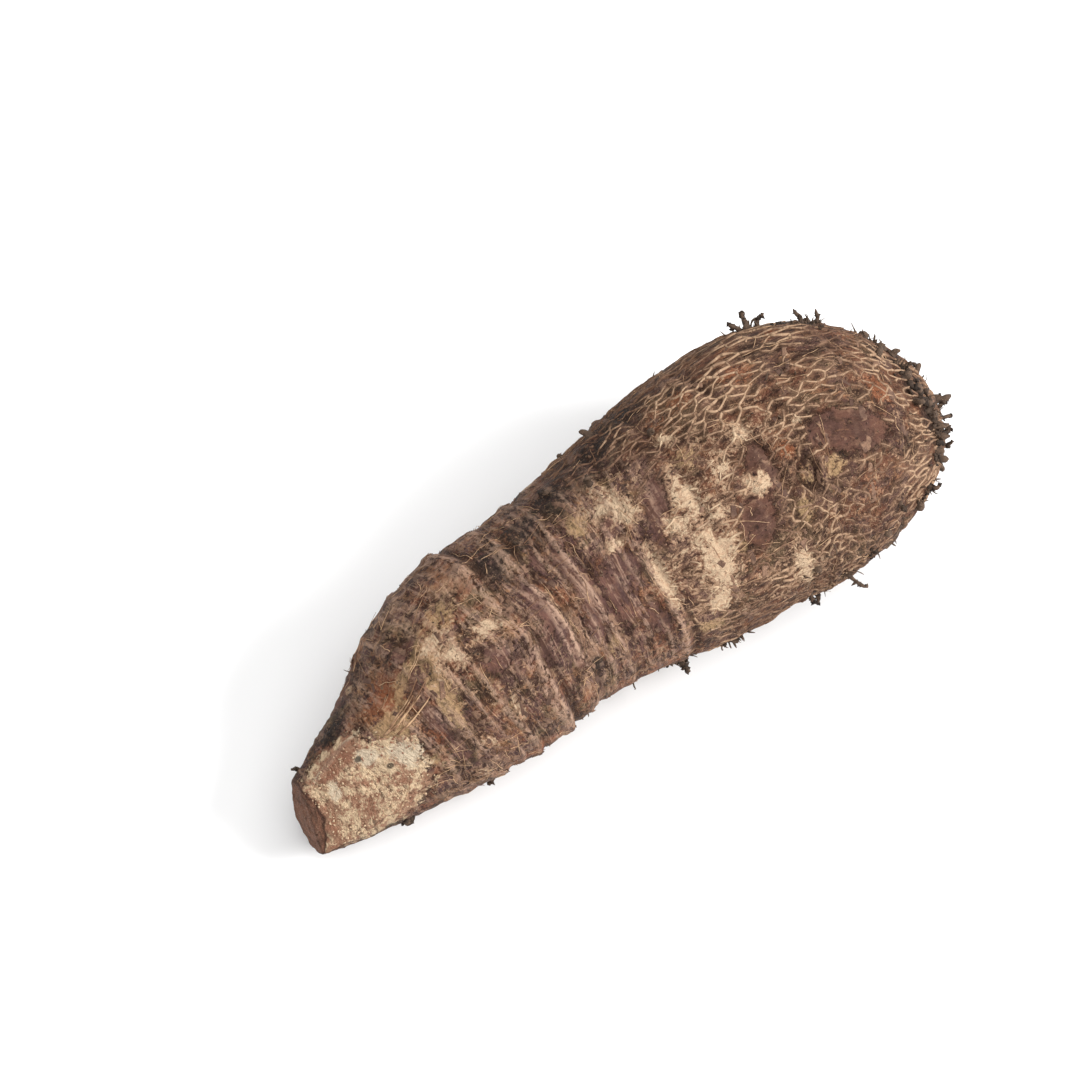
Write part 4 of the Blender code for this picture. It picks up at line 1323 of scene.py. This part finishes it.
bark_scales = scale_mesh()
bark_scales.data.materials.append(cork_material("dead_bark", SCALE_BROWN, SCALE_DARK, TAN, 1.4))
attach(bark_scales, "root")

# Crumbs: grains of torn flesh that stand on the slanting break, grains of dry earth that stay in the ring
# scars and between the cork lines, and dark clumps of dead bark on the outline and the thin rootlets.
# Each crumb is a small lump with eight faces, shaken out of true.

EARTH_CRUMBS = 900
EARTH_AT_RINGS = 0.6
EARTH_SIZES = (0.12, 0.42)
EARTH_BROWN = (0.15, 0.095, 0.058)
EARTH_DARK = (0.05, 0.034, 0.024)
BREAK_CRUMBS = 420
BREAK_SIZES = (0.15, 0.45)
CRUMB_SEED = 111
# Clumps of dark crumbs on the outline: place, angle, height over the skin, spread, largest crumb
CRUMB_CLUMPS = (
    (59.5, 56.5, 0.6, 1.4, 0.9),
    (68.6, 42.5, 0.6, 1.3, 0.9),
    (64.0, 49.0, 0.4, 1.8, 0.8),
    (81.0, 43.0, 0.6, 1.6, 1.0),
    (84.0, 34.0, 0.6, 1.3, 1.0),
    (87.3, 14.0, 0.6, 1.5, 1.0),
    (89.0, 1.0, 0.6, 1.4, 1.4),
    (90.6, -10.0, 0.6, 1.4, 1.4),
    (91.6, -20.0, 0.7, 1.4, 1.4),
    (92.3, -31.0, 0.8, 1.3, 1.4),
    (92.4, -42.0, 0.8, 1.4, 1.4),
    (91.0, -55.0, 0.6, 1.5, 1.4),
    (87.5, -82.0, 0.6, 1.5, 1.2),
    (72.0, -92.0, 0.4, 1.6, 0.8),
    (22.5, -112.0, 0.5, 1.6, 1.1),
    (8.5, -112.0, 0.6, 1.2, 0.9),
    (-72.0, -106.0, 0.6, 1.0, 0.9),
)
CLUMP_CRUMBS = 26
# Crumbs on rootlets thinner than this: how many, how far they stray from its middle, and their sizes
THIN_ROOTLET = 0.85
ROOT_CRUMBS = 520
ROOT_CRUMB_STRAY = 0.26
ROOT_CRUMB_SIZES = (0.3, 0.85)
CLUMP_BROWN = (0.062, 0.040, 0.028)
CLUMP_DARK = (0.025, 0.017, 0.013)
OCTAHEDRON = np.array([(1, 0, 0), (-1, 0, 0), (0, 1, 0), (0, -1, 0), (0, 0, 1), (0, 0, -1)], float)
OCTAHEDRON_FACES = np.array(
    [(0, 2, 4), (2, 1, 4), (1, 3, 4), (3, 0, 4), (2, 0, 5), (1, 2, 5), (3, 1, 5), (0, 3, 5)]
)


def crumb_piece(name, corners):
    """Small lumps from the six corners of each."""
    points = corners.reshape(-1, 3)
    faces = OCTAHEDRON_FACES[None] + 6 * np.arange(len(corners))[:, None, None]
    piece = new_piece(name, points, faces.reshape(-1, 3))
    set_values(piece, "straight", points)
    return piece


def strewn_crumbs(name, x, angle, size, draw, on_flesh):
    """Octahedra, each corner shaken, at those places on torn flesh, or off it, that have no scurf."""
    centre = on_skin(x, angle, 0.05 * np.ones_like(x))
    opened = (broken_depth(x, angle) > -0.2) | (mark_field("torn", x, angle) > 0.5)
    clear = (centre[:, 2] > 1.0) & (opened == on_flesh) & (mark_field("scurf", x, angle) < 0.5)
    centre, size = centre[clear], size[clear]
    shake = draw.uniform(0.6, 1.3, (len(centre), 6, 1))
    turned = OCTAHEDRON + draw.uniform(-0.35, 0.35, (len(centre), 6, 3))
    return crumb_piece(name, centre[:, None] + size[:, None, None] * shake * turned)


def clump_mesh(draw):
    """Crumbs strewn by a normal spread round each clump's middle, and round the outer half of thin rootlets.

    Those that touch neither the skin nor a rootlet are left out.
    """
    place, angle, height, spread, largest = np.repeat(np.array(CRUMB_CLUMPS), CLUMP_CRUMBS, 0).T
    strewn = draw.normal(0, 1, (3, len(place)))
    x = np.minimum(place + spread * strewn[0], LAST_PLACE)
    angle = angle + np.degrees(spread * strewn[1] / np.maximum(half_width(x), 8))
    size = largest * draw.uniform(0.3, 1.0, len(x)) ** 1.5
    out = height * (1 + 0.5 * strewn[2]) * draw.uniform(0.0, 1.0, len(x)) ** 0.5
    out = np.clip(out, 0.1, height + 0.5)
    centre = on_skin(x, angle, out)

    roots, radius = rootlet_paths(rootlet_roots(), ROOTLET_KINK, ROOTLET_NOISE)
    path = roots[radius[:, 0] < THIN_ROOTLET, ROOTLET_POINTS // 2 :]
    root, along = (draw.integers(count, size=ROOT_CRUMBS) for count in path.shape[:2])
    on_root = path[root, along] + draw.normal(0, ROOT_CRUMB_STRAY, (ROOT_CRUMBS, 3))
    centre = np.concatenate([centre, on_root])
    size = np.concatenate([size, draw.uniform(*ROOT_CRUMB_SIZES, ROOT_CRUMBS)])
    out = np.concatenate([out, np.full(ROOT_CRUMBS, np.inf)])
    stems = roots[:, :-1].reshape(-1, 3)
    gap = np.linalg.norm(centre[:, None] - stems, axis=-1) - 0.4 * np.repeat(radius[:, 0], ROOTLET_POINTS - 1)
    held = np.minimum(gap.min(1), out) < 0.5 * size

    count = len(centre)
    shape = draw.uniform(0.5, 1.2, (count, 6, 1)) * draw.uniform(0.6, 1.3, (count, 1, 3))
    turned = OCTAHEDRON + draw.uniform(-0.4, 0.4, (count, 6, 3))
    corners = centre[:, None] + size[:, None, None] * shape * turned
    return crumb_piece("bark_clumps", corners[held & (corners[..., 2].min(1) > 0.3)])


crumb_draw = np.random.default_rng(CRUMB_SEED)
ring_places = np.array([place for place, _ in RING_SCARS])
at_ring = crumb_draw.random(EARTH_CRUMBS) < EARTH_AT_RINGS
by_ring = crumb_draw.choice(ring_places, EARTH_CRUMBS) + crumb_draw.normal(0, 1.2, EARTH_CRUMBS)
earth = strewn_crumbs(
    "earth_crumbs",
    np.where(at_ring, by_ring, crumb_draw.uniform(-60, 95, EARTH_CRUMBS)),
    crumb_draw.uniform(-180, 180, EARTH_CRUMBS),
    crumb_draw.uniform(*EARTH_SIZES, EARTH_CRUMBS),
    crumb_draw,
    False,
)
earth.data.materials.append(cork_material("dry_earth", EARTH_BROWN, EARTH_DARK, TAN, 1.0))
torn_flesh = strewn_crumbs(
    "torn_flesh",
    crumb_draw.uniform(-90, -60, BREAK_CRUMBS),
    crumb_draw.uniform(-85, 12, BREAK_CRUMBS),
    crumb_draw.uniform(*BREAK_SIZES, BREAK_CRUMBS),
    crumb_draw,
    True,
)
torn_flesh.data.materials.append(cork_material("torn_flesh", FLESH_PALE, FLESH_RED, FLESH_WHITE, 1.2))
clumps = clump_mesh(crumb_draw)
clumps.data.materials.append(cork_material("clump_bark", CLUMP_BROWN, CLUMP_DARK, OLIVE_BROWN, 1.2))
for piece in (earth, torn_flesh, clumps):
    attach(piece, "root")

# The floor: a plain pale sheet, far larger than the view, on which the tuber lies.

FLOOR_HALF = 8.0
FLOOR_WHITE = (0.86, 0.86, 0.86, 1.0)


def floor_mesh():
    """One square, FLOOR_HALF metres to each side of the tuber's middle."""
    corners = np.array([(-1, -1, 0), (1, -1, 0), (1, 1, 0), (-1, 1, 0)]) * FLOOR_HALF / MM
    return new_piece("floor", corners + ORIGIN, np.array([(0, 1, 2, 3)]))


floor = floor_mesh()
floor_finish, floor_tree, floor_surface = new_material("pale_floor", 0.9, 0.1)
floor_surface.inputs["Base Color"].default_value = FLOOR_WHITE
floor.data.materials.append(floor_finish)

# Studio light: a large soft panel overhead, a key panel from the lower right of the view, a weak fill
# from the left, and an even pale surround.

# Name, place and size in metres, power in watts
LIGHTS = (
    ("overhead", (0.1, -0.1, 1.3), 1.4, 13.0),
    ("key", (0.75, -0.75, 0.85), 0.5, 21.0),
    ("fill", (-1.0, -0.2, 0.7), 0.9, 3.0),
)
LIT_POINT = (0.0, 0.0, 0.03)
SURROUND = 0.5


def aim(thing, place, target):
    """Turns a light or camera, which looks down its own -Z, from place towards target."""
    back = unit(np.array(place) - np.array(target))
    right = unit(np.cross([0.0, 0.0, 1.0], back))
    up = np.cross(back, right)
    matrix = np.eye(4)
    matrix[:3, 0], matrix[:3, 1], matrix[:3, 2], matrix[:3, 3] = right, up, back, place
    thing.matrix_world = Matrix(matrix.tolist())


for name, place, size, power in LIGHTS:
    lamp = bpy.data.lights.new(name, "AREA")
    lamp.shape = "SQUARE"
    lamp.size = size
    lamp.energy = power
    light = bpy.data.objects.new(name, lamp)
    bpy.context.scene.collection.objects.link(light)
    aim(light, place, LIT_POINT)

world = bpy.data.worlds.new("studio")
world.use_nodes = True
background = world.node_tree.nodes["Background"]
background.inputs["Color"].default_value = (1.0, 1.0, 1.0, 1.0)
background.inputs["Strength"].default_value = SURROUND
bpy.context.scene.world = world
bpy.context.scene.view_settings.view_transform = "Standard"

# The camera: where the photograph was taken from, looking down on the tuber with its tip at the lower
# left.

CAMERA_ELEVATION = 60.0
CAMERA_AZIMUTH = -35.2
CAMERA_DISTANCE = 0.75
CAMERA_TARGET = np.array([-0.0091, 0.0187, 0.03])
LENS_LENGTH = 100.0
SENSOR_WIDTH = 36.0


def camera_place():
    """Target + distance along the direction of that azimuth and elevation."""
    lean, turn = np.radians(CAMERA_ELEVATION), np.radians(CAMERA_AZIMUTH)
    back = np.array([np.sin(turn) * np.cos(lean), -np.cos(turn) * np.cos(lean), np.sin(lean)])
    return CAMERA_TARGET + CAMERA_DISTANCE * back


lens = bpy.data.cameras.new("camera")
lens.lens = LENS_LENGTH
lens.sensor_width = SENSOR_WIDTH
lens.clip_start = 0.01
camera = bpy.data.objects.new("camera", lens)
bpy.context.scene.collection.objects.link(camera)
aim(camera, camera_place(), CAMERA_TARGET)
bpy.context.scene.camera = camera
